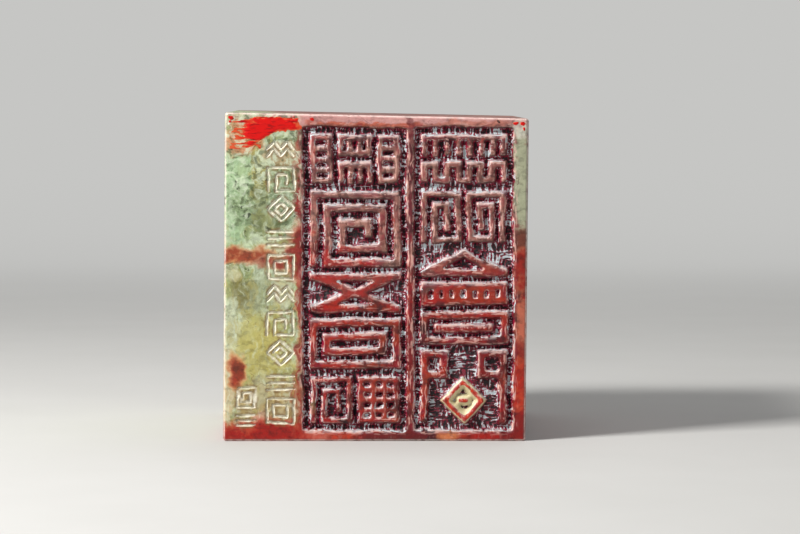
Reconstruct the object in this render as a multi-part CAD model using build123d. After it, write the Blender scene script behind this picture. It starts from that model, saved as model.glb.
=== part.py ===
from build123d import *

import os
from dataclasses import dataclass
from math import atan2, degrees, floor, hypot, pi, radians, tan

# A carved stone seal: one upright block of veined soft stone that stands on its working face.
# The front carries two sunk panels of strap ornament left standing in relief, beside a plain strip.
# The foot is the working face, with a border, a cross and four key frets in relief.
# Dried vermilion paste lies in the carved ground and on two corners of the front.
# Lengths are in millimetres. +Z is up, the front looks along -Y, and the origin is the middle of the foot.

# Stone block, cut by hand: the sides lean a little and the crown slopes
block_width = 70.0
block_depth = 70.0
left_height = 76.0
right_height = 74.6
lean = 0.6
edge_round = 0.7

# Front, from the left: plain strip, panel, divider, a panel that takes what is left, and the margin
strip_width = 18.4
left_panel_width = 23.7
divider_width = 1.9
right_margin = 3.3
crown_margin = 2.1
foot_margin = 2.6
ground_depth = 1.4
wall_draft = 8.0
panel_clearance = 1.3

# Strokes of the front relief, and the rows of each panel from the top down
fine_stroke = 1.35
fine_groove = 1.2
bold_stroke = 1.9
bold_groove = 1.35
stroke_draft = 13.0
least_ring_steps = 0.8
left_row_shares = (0.19, 0.3, 0.14, 0.19, 0.18)
right_row_shares = (0.19, 0.2, 0.21, 0.11, 0.29)
post_share = 0.27
roof_share = 0.55
leaf_share = 0.4

# Small lozenge that stands by itself in the lowest cell of the right panel
accent_size = 8.6
accent_stroke = 1.5
accent_bar = 1.2
accent_rise_share = 0.3

# Working face on the foot
face_border = 3.0
face_cross = 2.6
face_stroke = 2.5
face_groove = 2.2
face_clearance = 1.9
face_ground_depth = 1.5
face_draft = 13.0

# Dried vermilion paste
paste_thickness = 0.2
smear_width = 16.6
smear_height = 6.6
smear_thickness = 0.12
smear_from_side = 1.1
smear_from_crown = 1.1
smear_outline_shares = (
    (0.1, 0.9), (0.3, 0.96), (0.62, 1), (0.96, 0.95), (1, 0.64), (0.82, 0.46), (0.62, 0.37), (0.45, 0.22),
    (0.28, 0.03), (0.14, 0), (0.13, 0.14), (0.05, 0.22), (0.08, 0.36), (0, 0.46), (0.06, 0.6), (0.02, 0.74),
)
dab_width = 1.3
dab_height = 0.9
dab_thickness = 0.1
dab_from_side = 0.75
dab_from_crown = 0.75
dab_spacing = 1.6
lone_dab_from_side = 19.4

# How far a cutting tool runs past the stone
overrun = 3.0


@dataclass(frozen=True)
class Cut:
    """How wide the strokes of a row stand, and how wide the grooves between them are."""

    stroke: float
    groove: float

    @property
    def step(self) -> float:
        """From one stroke's centre line to the next."""
        return self.stroke + self.groove


@dataclass(frozen=True)
class Cell:
    """A rectangle that holds the centre lines of one motif."""

    left: float
    foot: float
    width: float
    height: float

    def at(self, across: float, up: float) -> tuple[float, float]:
        """Point at shares of the width and the height."""
        return (self.left + across * self.width, self.foot + up * self.height)

    def inset(self, gap: float) -> "Cell":
        """The same cell, drawn in on every side."""
        return Cell(self.left + gap, self.foot + gap, self.width - 2 * gap, self.height - 2 * gap)

    def columns(self, gap: float, *shares: float) -> list["Cell"]:
        """Cells side by side with a gap between them, whose widths have these shares of what is free."""
        free = self.width - gap * (len(shares) - 1)
        cells = []
        left = self.left
        for share in shares:
            cells.append(Cell(left, self.foot, free * share, self.height))
            left += free * share + gap
        return cells

    def rows(self, gap: float, *shares: float) -> list["Cell"]:
        """Cells from the top down with a gap between them, whose heights have these shares."""
        free = self.height - gap * (len(shares) - 1)
        cells = []
        top = self.foot + self.height
        for share in shares:
            cells.append(Cell(self.left, top - free * share, self.width, free * share))
            top -= free * share + gap
        return cells


fine = Cut(fine_stroke, fine_groove)
bold = Cut(bold_stroke, bold_groove)
face_cut = Cut(face_stroke, face_groove)


def steps_in(length: float, cut: Cut) -> int:
    """How many steps of a cut fit best in a length."""
    return max(1, round(length / cut.step))


def rings_in(cell: Cell, cut: Cut) -> int:
    """How many turns of a spiral or a frame fit in a cell."""
    steps = min(cell.width, cell.height) / cut.step
    return max(1, floor((steps - least_ring_steps) / 2) + 1)


def rails(cell: Cell, count: int) -> list:
    """Level strokes, spread evenly from the foot of the cell to its top."""
    return [[cell.at(0, i / (count - 1)), cell.at(1, i / (count - 1))] for i in range(count)]


def posts(cell: Cell, count: int) -> list:
    """Upright strokes, spread evenly from the left of the cell to its right."""
    return [[cell.at(i / (count - 1), 0), cell.at(i / (count - 1), 1)] for i in range(count)]


def lattice(cell: Cell, cut: Cut) -> list:
    """Posts and rails that leave small square holes."""
    return posts(cell, steps_in(cell.width, cut) + 1) + rails(cell, steps_in(cell.height, cut) + 1)


def ladder(cell: Cell, cut: Cut) -> list:
    """Two posts with rungs between them."""
    return posts(cell, 2) + rails(cell, steps_in(cell.height, cut) + 1)


def ladder_on_side(cell: Cell, cut: Cut) -> list:
    """Two rails with short posts between them."""
    return rails(cell, 2) + posts(cell, steps_in(cell.width, cut) + 1)


def comb(cell: Cell, cut: Cut) -> list:
    """A rail with teeth that hang from it."""
    return [[cell.at(0, 1), cell.at(1, 1)], *posts(cell, steps_in(cell.width, cut) + 1)]


def meander(cell: Cell, cut: Cut) -> list:
    """One stroke that runs up and down across the cell."""
    folds = steps_in(cell.width, cut)
    path = []
    for i in range(folds + 1):
        ends = [cell.at(i / folds, 0), cell.at(i / folds, 1)]
        path += ends if i % 2 == 0 else ends[::-1]
    return [path]


def key_spiral(cell: Cell, cut: Cut, mirrored: bool = False) -> list:
    """A square spiral that winds inwards from the foot of one side."""
    path = [(0, 0)]
    for ring in range(rings_in(cell, cut)):
        inset = ring * cut.step
        right = cell.width - inset
        top = cell.height - inset
        path += [(inset, top), (right, top), (right, inset)]
        if right - inset > 2 * cut.step:
            path.append((inset + cut.step, inset))
    turn = -1 if mirrored else 1
    start = cell.left + (cell.width if mirrored else 0)
    return [[(start + turn * x, cell.foot + z) for x, z in path]]


def nested_frames(cell: Cell, cut: Cut) -> list:
    """Rectangles one inside the other, round a bar where there is room for one."""
    paths = []
    rings = rings_in(cell, cut)
    for ring in range(rings):
        inner = cell.inset(ring * cut.step)
        paths.append([inner.at(0, 0), inner.at(1, 0), inner.at(1, 1), inner.at(0, 1), inner.at(0, 0)])
    inset = rings * cut.step
    if cell.height > (2 * rings - least_ring_steps / 2) * cut.step:
        middle = cell.foot + cell.height / 2
        paths.append([(cell.left + inset, middle), (cell.left + cell.width - inset, middle)])
    return paths


def crossed_straps(cell: Cell) -> list:
    """Two straps that cross between a rail above and a rail below."""
    return [*rails(cell, 2), [cell.at(0, 0), cell.at(1, 1)], [cell.at(0, 1), cell.at(1, 0)]]


def gable(cell: Cell) -> list:
    """Two straps that lean together over a tie beam."""
    return [[cell.at(0, 0), cell.at(0.5, 1), cell.at(1, 0)], [cell.at(0, 0), cell.at(1, 0)]]


def lozenge(cell: Cell) -> list:
    """A diamond that touches the middle of each side of its cell."""
    return [[cell.at(0.5, 0), cell.at(1, 0.5), cell.at(0.5, 1), cell.at(0, 0.5), cell.at(0.5, 0)]]


def left_panel_rows(panel: Cell) -> list:
    """The left panel's motifs from the top down, each with its cut."""
    ladders, key, cross, window, pair = panel.rows(bold.step, *left_row_shares)
    left, middle, right = ladders.columns(fine.step, post_share, 1 - 2 * post_share, post_share)
    upper, lower = middle.rows(fine.step, 0.5, 0.5)
    hook, grille = pair.columns(fine.step, 0.5, 0.5)
    return [
        (ladder(left, fine) + lattice(upper, fine) + comb(lower, fine) + ladder(right, fine), fine),
        (key_spiral(key, bold), bold),
        (crossed_straps(cross), bold),
        (nested_frames(window, bold), bold),
        (key_spiral(hook, fine) + lattice(grille, fine), fine),
    ]


def right_panel_rows(panel: Cell) -> list:
    """The right panel's motifs from the top down, each with its cut."""
    folds, pair, house, frame, gate = panel.rows(bold.step, *right_row_shares)
    upper, lower = folds.rows(fine.step, 0.5, 0.5)
    left, right = pair.columns(fine.step, 0.5, 0.5)
    roof, floor_beam = house.rows(bold.step, roof_share, 1 - roof_share)
    leaves, _ = gate.rows(bold.step, leaf_share, 1 - leaf_share)
    left_leaf, _, right_leaf = leaves.columns(bold.step, leaf_share, 1 - 2 * leaf_share, leaf_share)
    return [
        (comb(upper, fine) + meander(lower, fine), fine),
        (key_spiral(left, fine) + key_spiral(right, fine, mirrored=True), fine),
        (gable(roof) + ladder_on_side(floor_beam, fine), bold),
        (nested_frames(frame, bold), bold),
        (posts(gate, 2) + ladder(left_leaf, bold) + ladder(right_leaf, bold), bold),
    ]


def accent_paths(panel: Cell) -> list:
    """Centre lines of the small lozenge and the bar inside it."""
    gate = panel.rows(bold.step, *right_row_shares)[-1]
    across, up = gate.at(0.5, accent_rise_share)
    cell = Cell(across - accent_size / 2, up - accent_size / 2, accent_size, accent_size)
    half_bar = accent_bar / 2
    return [*lozenge(cell), [(across - half_bar, up), (across + half_bar, up)]]


def slants(start: tuple, end: tuple) -> bool:
    """Whether a run is neither level nor upright."""
    return start[0] != end[0] and start[1] != end[1]


def end_reach(point: tuple, here: tuple, beyond: tuple | None, width: float) -> float:
    """How far a stroke runs past the end of its centre line.

    At a corner it fills the corner with the next run. A slanting strap ends inside another stroke.
    """
    if beyond is None:
        return 0 if slants(here, point) else width / 2
    before = atan2(point[1] - here[1], point[0] - here[0])
    after = atan2(beyond[1] - point[1], beyond[0] - point[0])
    turn = abs((after - before + pi) % (2 * pi) - pi)
    return width / 2 * min(1, tan(turn / 2))


def relief(paths: list, ground: Plane, width: float, height: float, draft: float) -> list:
    """Strokes with sloping flanks that stand on the sunk ground along the centre lines.

    Each is width across at its top. Level and upright runs are joined before they are raised, and a
    slanting run is raised by itself.
    """
    spread = height * tan(radians(draft))
    square_runs = []
    slanting_runs = []
    for path in paths:
        closed = path[0] == path[-1]
        for i, (start, end) in enumerate(zip(path, path[1:])):
            before = path[i - 1] if i else (path[-2] if closed else None)
            after = path[i + 2] if i + 2 < len(path) else (path[1] if closed else None)
            back = end_reach(start, end, before, width)
            ahead = end_reach(end, start, after, width)
            length = hypot(end[0] - start[0], end[1] - start[1])
            heading = degrees(atan2(end[1] - start[1], end[0] - start[0]))
            place = Pos(*start) * Rot(0, 0, heading) * Pos((length + ahead - back) / 2, 0)
            run = place * Rectangle(length + back + ahead + 2 * spread, width + 2 * spread)
            runs = slanting_runs if slants(start, end) else square_runs
            runs.append(run)
    joined = (Sketch() + square_runs).faces() if square_runs else []
    return [extrude(ground * face, amount=height, taper=draft) for face in [*joined, *slanting_runs]]


def sunk_panel(cell: Cell, face: Plane, depth: float, draft: float) -> Part:
    """The stone taken out of a panel, with walls that slope in towards the ground."""
    spread = overrun * tan(radians(draft))
    mouth = face.offset(overrun) * Pos(cell.left + cell.width / 2, cell.foot + cell.height / 2)
    outline = mouth * Rectangle(cell.width + 2 * spread, cell.height + 2 * spread)
    return extrude(outline, amount=-(depth + overrun), taper=draft)


def ground_film(cell: Cell, face: Plane, depth: float, draft: float, strokes: list) -> Part:
    """Paste over a panel's whole ground, between its walls and round its strokes."""
    slab = Pos(cell.left + cell.width / 2, cell.foot + cell.height / 2) * Rectangle(cell.width, cell.height)
    film = extrude(face.offset(-depth) * slab, amount=paste_thickness) & sunk_panel(cell, face, depth, draft)
    return film - strokes


def panel_strokes(rows: list) -> list:
    """The relief of a front panel's rows."""
    strokes = []
    for paths, cut in rows:
        strokes += relief(paths, front_ground, cut.stroke, ground_depth, stroke_draft)
    return strokes


def face_paths(cell: Cell) -> list:
    """Centre lines of the four key frets of the working face, two of them mirrored."""
    edge = face_clearance + face_stroke / 2
    paths = []
    for row in cell.inset(edge).rows(face_cross + 2 * edge, 0.5, 0.5):
        left, right = row.columns(face_cross + 2 * edge, 0.5, 0.5)
        paths += key_spiral(left, face_cut) + key_spiral(right, face_cut, mirrored=True)
    return paths


# Planes of the front and the foot, each with its normal out of the stone
side = block_width / 2
front = Plane(origin=(0, -block_depth / 2, 0), x_dir=(1, 0, 0), z_dir=(0, -1, 0))
front_ground = front.offset(-ground_depth)
foot = Plane(origin=(0, 0, 0), x_dir=(1, 0, 0), z_dir=(0, 0, -1))

# The block is drawn from the outline of its front
outline = Polyline(
    (-side - lean / 2, 0),
    (side - lean / 2, 0),
    (side + lean / 2, right_height),
    (-side + lean / 2, left_height),
    close=True,
)
stone = extrude(front * make_face(outline), amount=-block_depth)
stone = fillet(stone.edges(), radius=edge_round)

# Front panels
panel_height = right_height - crown_margin - foot_margin
left_panel = Cell(-side + strip_width, foot_margin, left_panel_width, panel_height)
right_panel_left = left_panel.left + left_panel_width + divider_width
right_panel = Cell(right_panel_left, foot_margin, side - right_margin - right_panel_left, panel_height)
line_inset = panel_clearance + bold_stroke / 2
left_strokes = panel_strokes(left_panel_rows(left_panel.inset(line_inset)))
right_strokes = panel_strokes(right_panel_rows(right_panel.inset(line_inset)))
accent = accent_paths(right_panel.inset(line_inset))
right_strokes += relief(accent, front_ground, accent_stroke, ground_depth, stroke_draft)

# Working face
face_cell = Cell(
    -side - lean / 2 + face_border,
    -block_depth / 2 + face_border,
    block_width - 2 * face_border,
    block_depth - 2 * face_border,
)
cross_paths = [
    [face_cell.at(0.5, 0), face_cell.at(0.5, 1)],
    [face_cell.at(0, 0.5), face_cell.at(1, 0.5)],
]
foot_ground = foot.offset(-face_ground_depth)
face_strokes = relief(face_paths(face_cell), foot_ground, face_stroke, face_ground_depth, face_draft)
face_strokes += relief(cross_paths, foot_ground, face_cross, face_ground_depth, face_draft)

# The panels are sunk, and the strokes are left standing in them
for cell in (left_panel, right_panel):
    stone -= sunk_panel(cell, front, ground_depth, wall_draft)
stone -= sunk_panel(face_cell, foot, face_ground_depth, face_draft)
stone += [*left_strokes, *right_strokes, *face_strokes]

# Paste in the carved ground
paste_left = ground_film(left_panel, front, ground_depth, wall_draft, left_strokes)
paste_right = ground_film(right_panel, front, ground_depth, wall_draft, right_strokes)
paste_face = ground_film(face_cell, foot, face_ground_depth, face_draft, face_strokes)


def crown_at(across: float) -> float:
    """Height of the crown at a distance from the middle of the block."""
    return (left_height + right_height) / 2 + (right_height - left_height) * across / block_width


def dab(across: float) -> Part:
    """One small dab of paste on the front, just under the crown."""
    up = crown_at(across) - dab_from_crown - dab_height / 2
    return extrude(front * Pos(across, up) * Ellipse(dab_width / 2, dab_height / 2), amount=dab_thickness)


# Paste under the crown, measured from the sides where they meet it
crown_left = -side + lean / 2
crown_right = side + lean / 2
smear_left = crown_left + smear_from_side
smear_foot = crown_at(smear_left + smear_width) - smear_from_crown - smear_height
smear_cell = Cell(smear_left, smear_foot, smear_width, smear_height)
smear_points = [smear_cell.at(across, up) for across, up in smear_outline_shares]
smear = extrude(front * make_face(Spline(*smear_points, periodic=True)), amount=smear_thickness)

dab_inset = dab_from_side + dab_width / 2
dabs = [
    dab(crown_left + dab_inset),
    dab(crown_left + lone_dab_from_side + dab_width / 2),
    dab(crown_right - dab_inset - dab_spacing),
    dab(crown_right - dab_inset),
]

nodes = {
    "seal_stone": stone,
    "paste_left_panel": paste_left,
    "paste_right_panel": paste_right,
    "paste_working_face": paste_face,
    "paste_corner_smear": smear,
    "paste_dabs": Compound(children=dabs),
}
os.makedirs("parts", exist_ok=True)
for name, shape in nodes.items():
    export_step(shape, os.path.join("parts", f"{name}.step"))
    print(name, len(shape.solids()), "solids", round(shape.volume, 1), "mm3")
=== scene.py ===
"""Looks of a carved stone seal: veined soft stone, chiselled relief and dried vermilion paste.

Lengths are in metres, +Z is up and the carved front looks along -Y. The stone is one closed mesh
whose carved faces take their depths from the frame's own solid, cut over again by hand: wavering
edges, small chips and chisel marks in the ground.
"""

import logging
import math
from dataclasses import dataclass, field
from enum import Enum
from typing import Any, Sequence, Union

import bpy
import numpy as np
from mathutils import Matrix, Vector
from mathutils.bvhtree import BVHTree

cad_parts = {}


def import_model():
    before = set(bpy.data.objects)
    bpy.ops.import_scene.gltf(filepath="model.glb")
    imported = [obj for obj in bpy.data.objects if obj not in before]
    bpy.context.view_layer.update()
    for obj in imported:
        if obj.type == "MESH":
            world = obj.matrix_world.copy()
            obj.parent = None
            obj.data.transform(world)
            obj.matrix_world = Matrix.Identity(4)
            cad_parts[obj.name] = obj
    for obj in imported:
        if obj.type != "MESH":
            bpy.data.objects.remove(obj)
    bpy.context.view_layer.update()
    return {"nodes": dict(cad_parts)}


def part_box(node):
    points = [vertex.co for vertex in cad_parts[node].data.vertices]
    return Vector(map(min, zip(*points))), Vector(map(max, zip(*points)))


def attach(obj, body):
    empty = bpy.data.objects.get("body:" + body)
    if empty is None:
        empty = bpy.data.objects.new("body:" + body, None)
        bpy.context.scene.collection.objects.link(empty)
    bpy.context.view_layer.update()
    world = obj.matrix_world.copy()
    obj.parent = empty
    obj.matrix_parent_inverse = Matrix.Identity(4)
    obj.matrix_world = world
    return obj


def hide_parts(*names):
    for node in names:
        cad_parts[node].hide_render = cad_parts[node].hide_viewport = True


log = logging.getLogger("seal")

MM = 0.001
ROOT = "root"
# Where the front lies along Y, in millimetres.
FRONT_AT = -35.0
# How far inside a face's borders its carving is read.
MAP_INSET = 1.2 * MM
# Points nearer to each other than this are one point.
WELD_STEP = 0.001 * MM
# A point that faces an axis by more than this lies on the flat of a face.
SQUARE_ON = 0.999
BLOCK_MIDDLE = (0.0, 0.0, 0.038)
# What the stone's material reads at each point of a carved face.
MEASURED = ("sunk", "rim", "crest", "worked", "level", "cut", "halo", "accent", "facing")

Colour = tuple[float, float, float]
ScreenColour = tuple[int, int, int]
Number = Union["Wire", float]


def from_screen(red: int, green: int, blue: int) -> Colour:
    """Turns a screen colour into a linear one, by the standard curve of screens.

    Args:
        red: Red, from 0 to 255.
        green: Green, from 0 to 255.
        blue: Blue, from 0 to 255.

    Returns:
        The linear colour.
    """
    linear = []
    for part in (red, green, blue):
        share = part / 255
        linear.append(share / 12.92 if share <= 0.04045 else ((share + 0.055) / 1.055) ** 2.4)
    return (linear[0], linear[1], linear[2])


def smooth_step(values: np.ndarray, low: float, high: float) -> np.ndarray:
    """Zero at low, one at high, and an even curve between them.

    Args:
        values: Numbers to grade.
        low: Value that gives zero.
        high: Value that gives one.

    Returns:
        The graded numbers.
    """
    share = np.clip((values - low) / (high - low), 0, 1)
    return share * share * (3 - 2 * share)


class Wire:
    """One output of a shader node, which adds Math nodes as it is worked with."""

    def __init__(self, web: "NodeWeb", socket: bpy.types.NodeSocket) -> None:
        """Keeps the socket and the web of nodes that it belongs to."""
        self.web = web
        self.socket = socket

    def __add__(self, other: Number) -> "Wire":
        """Sum."""
        return self.web.maths("ADD", self, other)

    __radd__ = __add__

    def __sub__(self, other: Number) -> "Wire":
        """Difference."""
        return self.web.maths("SUBTRACT", self, other)

    def __rsub__(self, other: Number) -> "Wire":
        """Difference from a number."""
        return self.web.maths("SUBTRACT", other, self)

    def __mul__(self, other: Number) -> "Wire":
        """Product."""
        return self.web.maths("MULTIPLY", self, other)

    __rmul__ = __mul__

    def __truediv__(self, other: Number) -> "Wire":
        """Quotient."""
        return self.web.maths("DIVIDE", self, other)


class NodeWeb:
    """The nodes of one material."""

    def __init__(self, name: str) -> None:
        """Starts a material with no nodes.

        Args:
            name: Name of the material.
        """
        self.material = bpy.data.materials.new(name)
        self.material.use_nodes = True
        self.nodes = self.material.node_tree.nodes
        self.links = self.material.node_tree.links
        self.nodes.clear()

    def node(self, kind: str, settings: dict[str, Any] | None = None, **values: Any) -> bpy.types.Node:
        """Adds one node.

        Args:
            kind: Blender's name of the node type.
            settings: Properties that are set before the sockets.
            values: Values or wires of the sockets, by name, with _ for a space.

        Returns:
            The node.
        """
        made = self.nodes.new(kind)
        for key, value in (settings or {}).items():
            setattr(made, key, value)
        for key, value in values.items():
            names = (key, key.replace("_", " "))
            socket = next(s for s in made.inputs if s.enabled and (s.name in names or s.identifier in names))
            self._feed(socket, value)
        return made

    def _feed(self, socket: bpy.types.NodeSocket, value: Any) -> None:
        """Links a wire to a node's input, or sets the input's value.

        Args:
            socket: The input.
            value: A wire, a number, a colour or three numbers.
        """
        if isinstance(value, Wire):
            self.links.new(value.socket, socket)
        elif isinstance(value, tuple) and socket.type == "RGBA":
            socket.default_value = (*value, 1.0)
        else:
            socket.default_value = value

    def out(self, made: bpy.types.Node, name: str) -> Wire:
        """The wire of a node's output."""
        return Wire(self, next(s for s in made.outputs if s.enabled and name in (s.name, s.identifier)))

    def maths(self, operation: str, *values: Number) -> Wire:
        """Result of a Math node."""
        return self._worked_out("ShaderNodeMath", operation, values, "Value")

    def _worked_out(self, kind: str, operation: str, values: Sequence[Any], output: str) -> Wire:
        """Adds a node that works something out from its inputs in order.

        Args:
            kind: Blender's name of the node type.
            operation: What it does.
            values: Values or wires of its inputs.
            output: Name of its output.

        Returns:
            The wire of its output.
        """
        made = self.node(kind, {"operation": operation})
        for socket, value in zip(made.inputs, values):
            self._feed(socket, value)
        return self.out(made, output)

    def clamp(self, value: Wire) -> Wire:
        """The value held between zero and one."""
        return self.out(self.node("ShaderNodeClamp", None, Value=value), "Result")

    def fade(self, value: Wire, low: float, high: float) -> Wire:
        """Grades a value from zero at low to one at high, whichever of the two is larger.

        Args:
            value: Wire to grade.
            low: Value that gives zero.
            high: Value that gives one.

        Returns:
            A wire between zero and one.
        """
        start, end = min(low, high), max(low, high)
        settings = {"interpolation_type": "SMOOTHSTEP"}
        made = self.node("ShaderNodeMapRange", settings, Value=value, From_Min=start, From_Max=end)
        graded = self.out(made, "Result")
        return graded if low < high else 1.0 - graded

    def blend(self, share: Number, first: Colour | Wire, second: Colour | Wire) -> Wire:
        """Mixes two colours.

        Args:
            share: Share of the second colour.
            first: First colour.
            second: Second colour.

        Returns:
            The mixed colour.
        """
        return self._mixed("MIX", share, first, second)

    def layers(self, base: Colour | Wire, *coats: tuple[Number, Colour | Wire]) -> Wire:
        """Lays coats of colour over a base.

        Args:
            base: Colour under the coats.
            coats: Share and colour of each coat, the lowest one first.

        Returns:
            The colour with its coats.
        """
        for share, colour in coats:
            base = self.blend(share, base, colour)
        return base

    def shade(self, colour: Wire, strength: Number, amount: Number) -> Wire:
        """Multiplies a colour by a grey.

        Args:
            colour: The colour.
            strength: How far it is multiplied.
            amount: The grey.

        Returns:
            The shaded colour.
        """
        combined = self.node("ShaderNodeCombineColor", None, Red=amount, Green=amount, Blue=amount)
        return self._mixed("MULTIPLY", strength, colour, self.out(combined, "Color"))

    def _mixed(self, way: str, share: Number, first: Colour | Wire, second: Colour | Wire) -> Wire:
        """Adds a Mix node for colours.

        Args:
            way: Blender's name of the way they mix.
            share: Share of the second colour.
            first: First colour.
            second: Second colour.

        Returns:
            The mixed colour.
        """
        settings = {"data_type": "RGBA", "blend_type": way, "clamp_factor": True}
        made = self.node("ShaderNodeMix", settings, Factor_Float=share, A_Color=first, B_Color=second)
        return self.out(made, "Result_Color")

    def vector(self, operation: str, first: Wire, second: Wire | Colour) -> Wire:
        """Result of a Vector Math node."""
        return self._worked_out("ShaderNodeVectorMath", operation, (first, second), "Vector")

    def stretched(self, place: Wire, across: float, inward: float, up: float) -> Wire:
        """The place with its three numbers multiplied: small ones draw a noise out."""
        return self.vector("MULTIPLY", place, (across, inward, up))

    def scattered(self, noise: Wire, across: float, inward: float, up: float) -> Wire:
        """Coloured noise as a shift to both sides, by up to half of the three numbers."""
        return self.stretched(self.vector("SUBTRACT", noise, (0.5, 0.5, 0.5)), across, inward, up)

    def vein(self, place: Wire, size: float, detail: float) -> Wire:
        """Distance of a noise from its middle, which is zero along winding lines."""
        return self.maths("ABSOLUTE", self.noise(place, size, detail) - 0.5)

    def place(self) -> Wire:
        """Place on the object in millimetres."""
        metres = self.out(self.node("ShaderNodeTexCoord"), "Object")
        return self.stretched(metres, 1 / MM, 1 / MM, 1 / MM)

    def axes(self, vector: Wire) -> tuple[Wire, Wire, Wire]:
        """The X, Y and Z of a vector."""
        made = self.node("ShaderNodeSeparateXYZ", None, Vector=vector)
        return self.out(made, "X"), self.out(made, "Y"), self.out(made, "Z")

    def noise(self, place: Wire, size: float, detail: float = 2.0, output: str = "Fac") -> Wire:
        """Cloudy noise.

        Args:
            place: Where it is read, in millimetres.
            size: Size of its clouds in millimetres.
            detail: How many finer layers it has.
            output: Name of the output, Fac or Color.

        Returns:
            The noise, about one half on average.
        """
        made = self.node("ShaderNodeTexNoise", None, Vector=place, Scale=1 / size, Detail=detail)
        return self.out(made, output)

    def measured(self, name: str) -> Wire:
        """A number that the mesh holds at each point."""
        return self.out(self.node("ShaderNodeAttribute", {"attribute_name": name}), "Fac")

    def streaks(self, place: Wire, size: float) -> tuple[Wire, Wire]:
        """Streaks that run along the nearest carved wall, and streaks square to it.

        Args:
            place: Where they are read, in millimetres.
            size: Width of a streak in millimetres.

        Returns:
            Both noises.
        """
        level = self.measured("level")
        wander = self.scattered(self.noise(place, 5.0, 2.0, "Color"), 2.0, 2.0, 2.0)
        bent = self.vector("ADD", place, wander)
        sideways = self.noise(self.stretched(bent, 0.16, 1.0, 1.0), size, 3.0)
        upwards = self.noise(self.stretched(bent, 1.0, 0.16, 0.16), size, 3.0)
        along = level * sideways + (1.0 - level) * upwards
        athwart = level * upwards + (1.0 - level) * sideways
        return along, athwart

    def pitted(self, streak: Wire, dark_residue_and_shade: Colour, stain: Colour, bruise_and_glint: Colour) -> Wire:
        """Black, crimson and pale streaks, from low to high in the given noise: the black is partly painted
        shade and the pale partly painted glints.
        """
        colour = self.blend(self.fade(streak, -0.12, 0.02), dark_residue_and_shade, stain)
        return self.blend(self.fade(streak, 0.1, 0.26), colour, bruise_and_glint)

    def bump(self, height: Wire, distance: float, strength: float = 1.0) -> Wire:
        """Normal that is tilted by a height."""
        made = self.node("ShaderNodeBump", None, Strength=strength, Distance=distance, Height=height)
        return self.out(made, "Normal")

    def surface(self, **values: Any) -> bpy.types.Material:
        """Ends the material with one Principled shader.

        Args:
            values: Values or wires of the shader's sockets, with _ for a space.

        Returns:
            The material.
        """
        shader = self.node("ShaderNodeBsdfPrincipled", None, **values)
        output = self.node("ShaderNodeOutputMaterial")
        self.links.new(shader.outputs["BSDF"], output.inputs["Surface"])
        return self.material


@dataclass(frozen=True)
class StoneCloud:
    """One soft cloud of colour inside the stone, as an ellipsoid in millimetres with screen colours.

    It lies near the front unless it says how far back it lies. A red one may have a paler glow round it.
    """

    across: float
    up: float
    half_width: float
    half_height: float
    colour: ScreenColour
    strength: float = 0.9
    softness: float = 0.5
    back: float = FRONT_AT
    half_depth: float = 36.0
    glow: ScreenColour | None = None


@dataclass(frozen=True)
class TracesAndPaintedLight:
    """Noises and slopes that the colours of a carved place depend on.

    Lit is one where a flank faces up and shaded where it faces down; they place a painted highlight and
    painted shade. Along and athwart are streaks.
    """

    lit: Wire
    shaded: Wire
    smudge: Wire
    patchy: Wire
    along: Wire
    athwart: Wire


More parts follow.
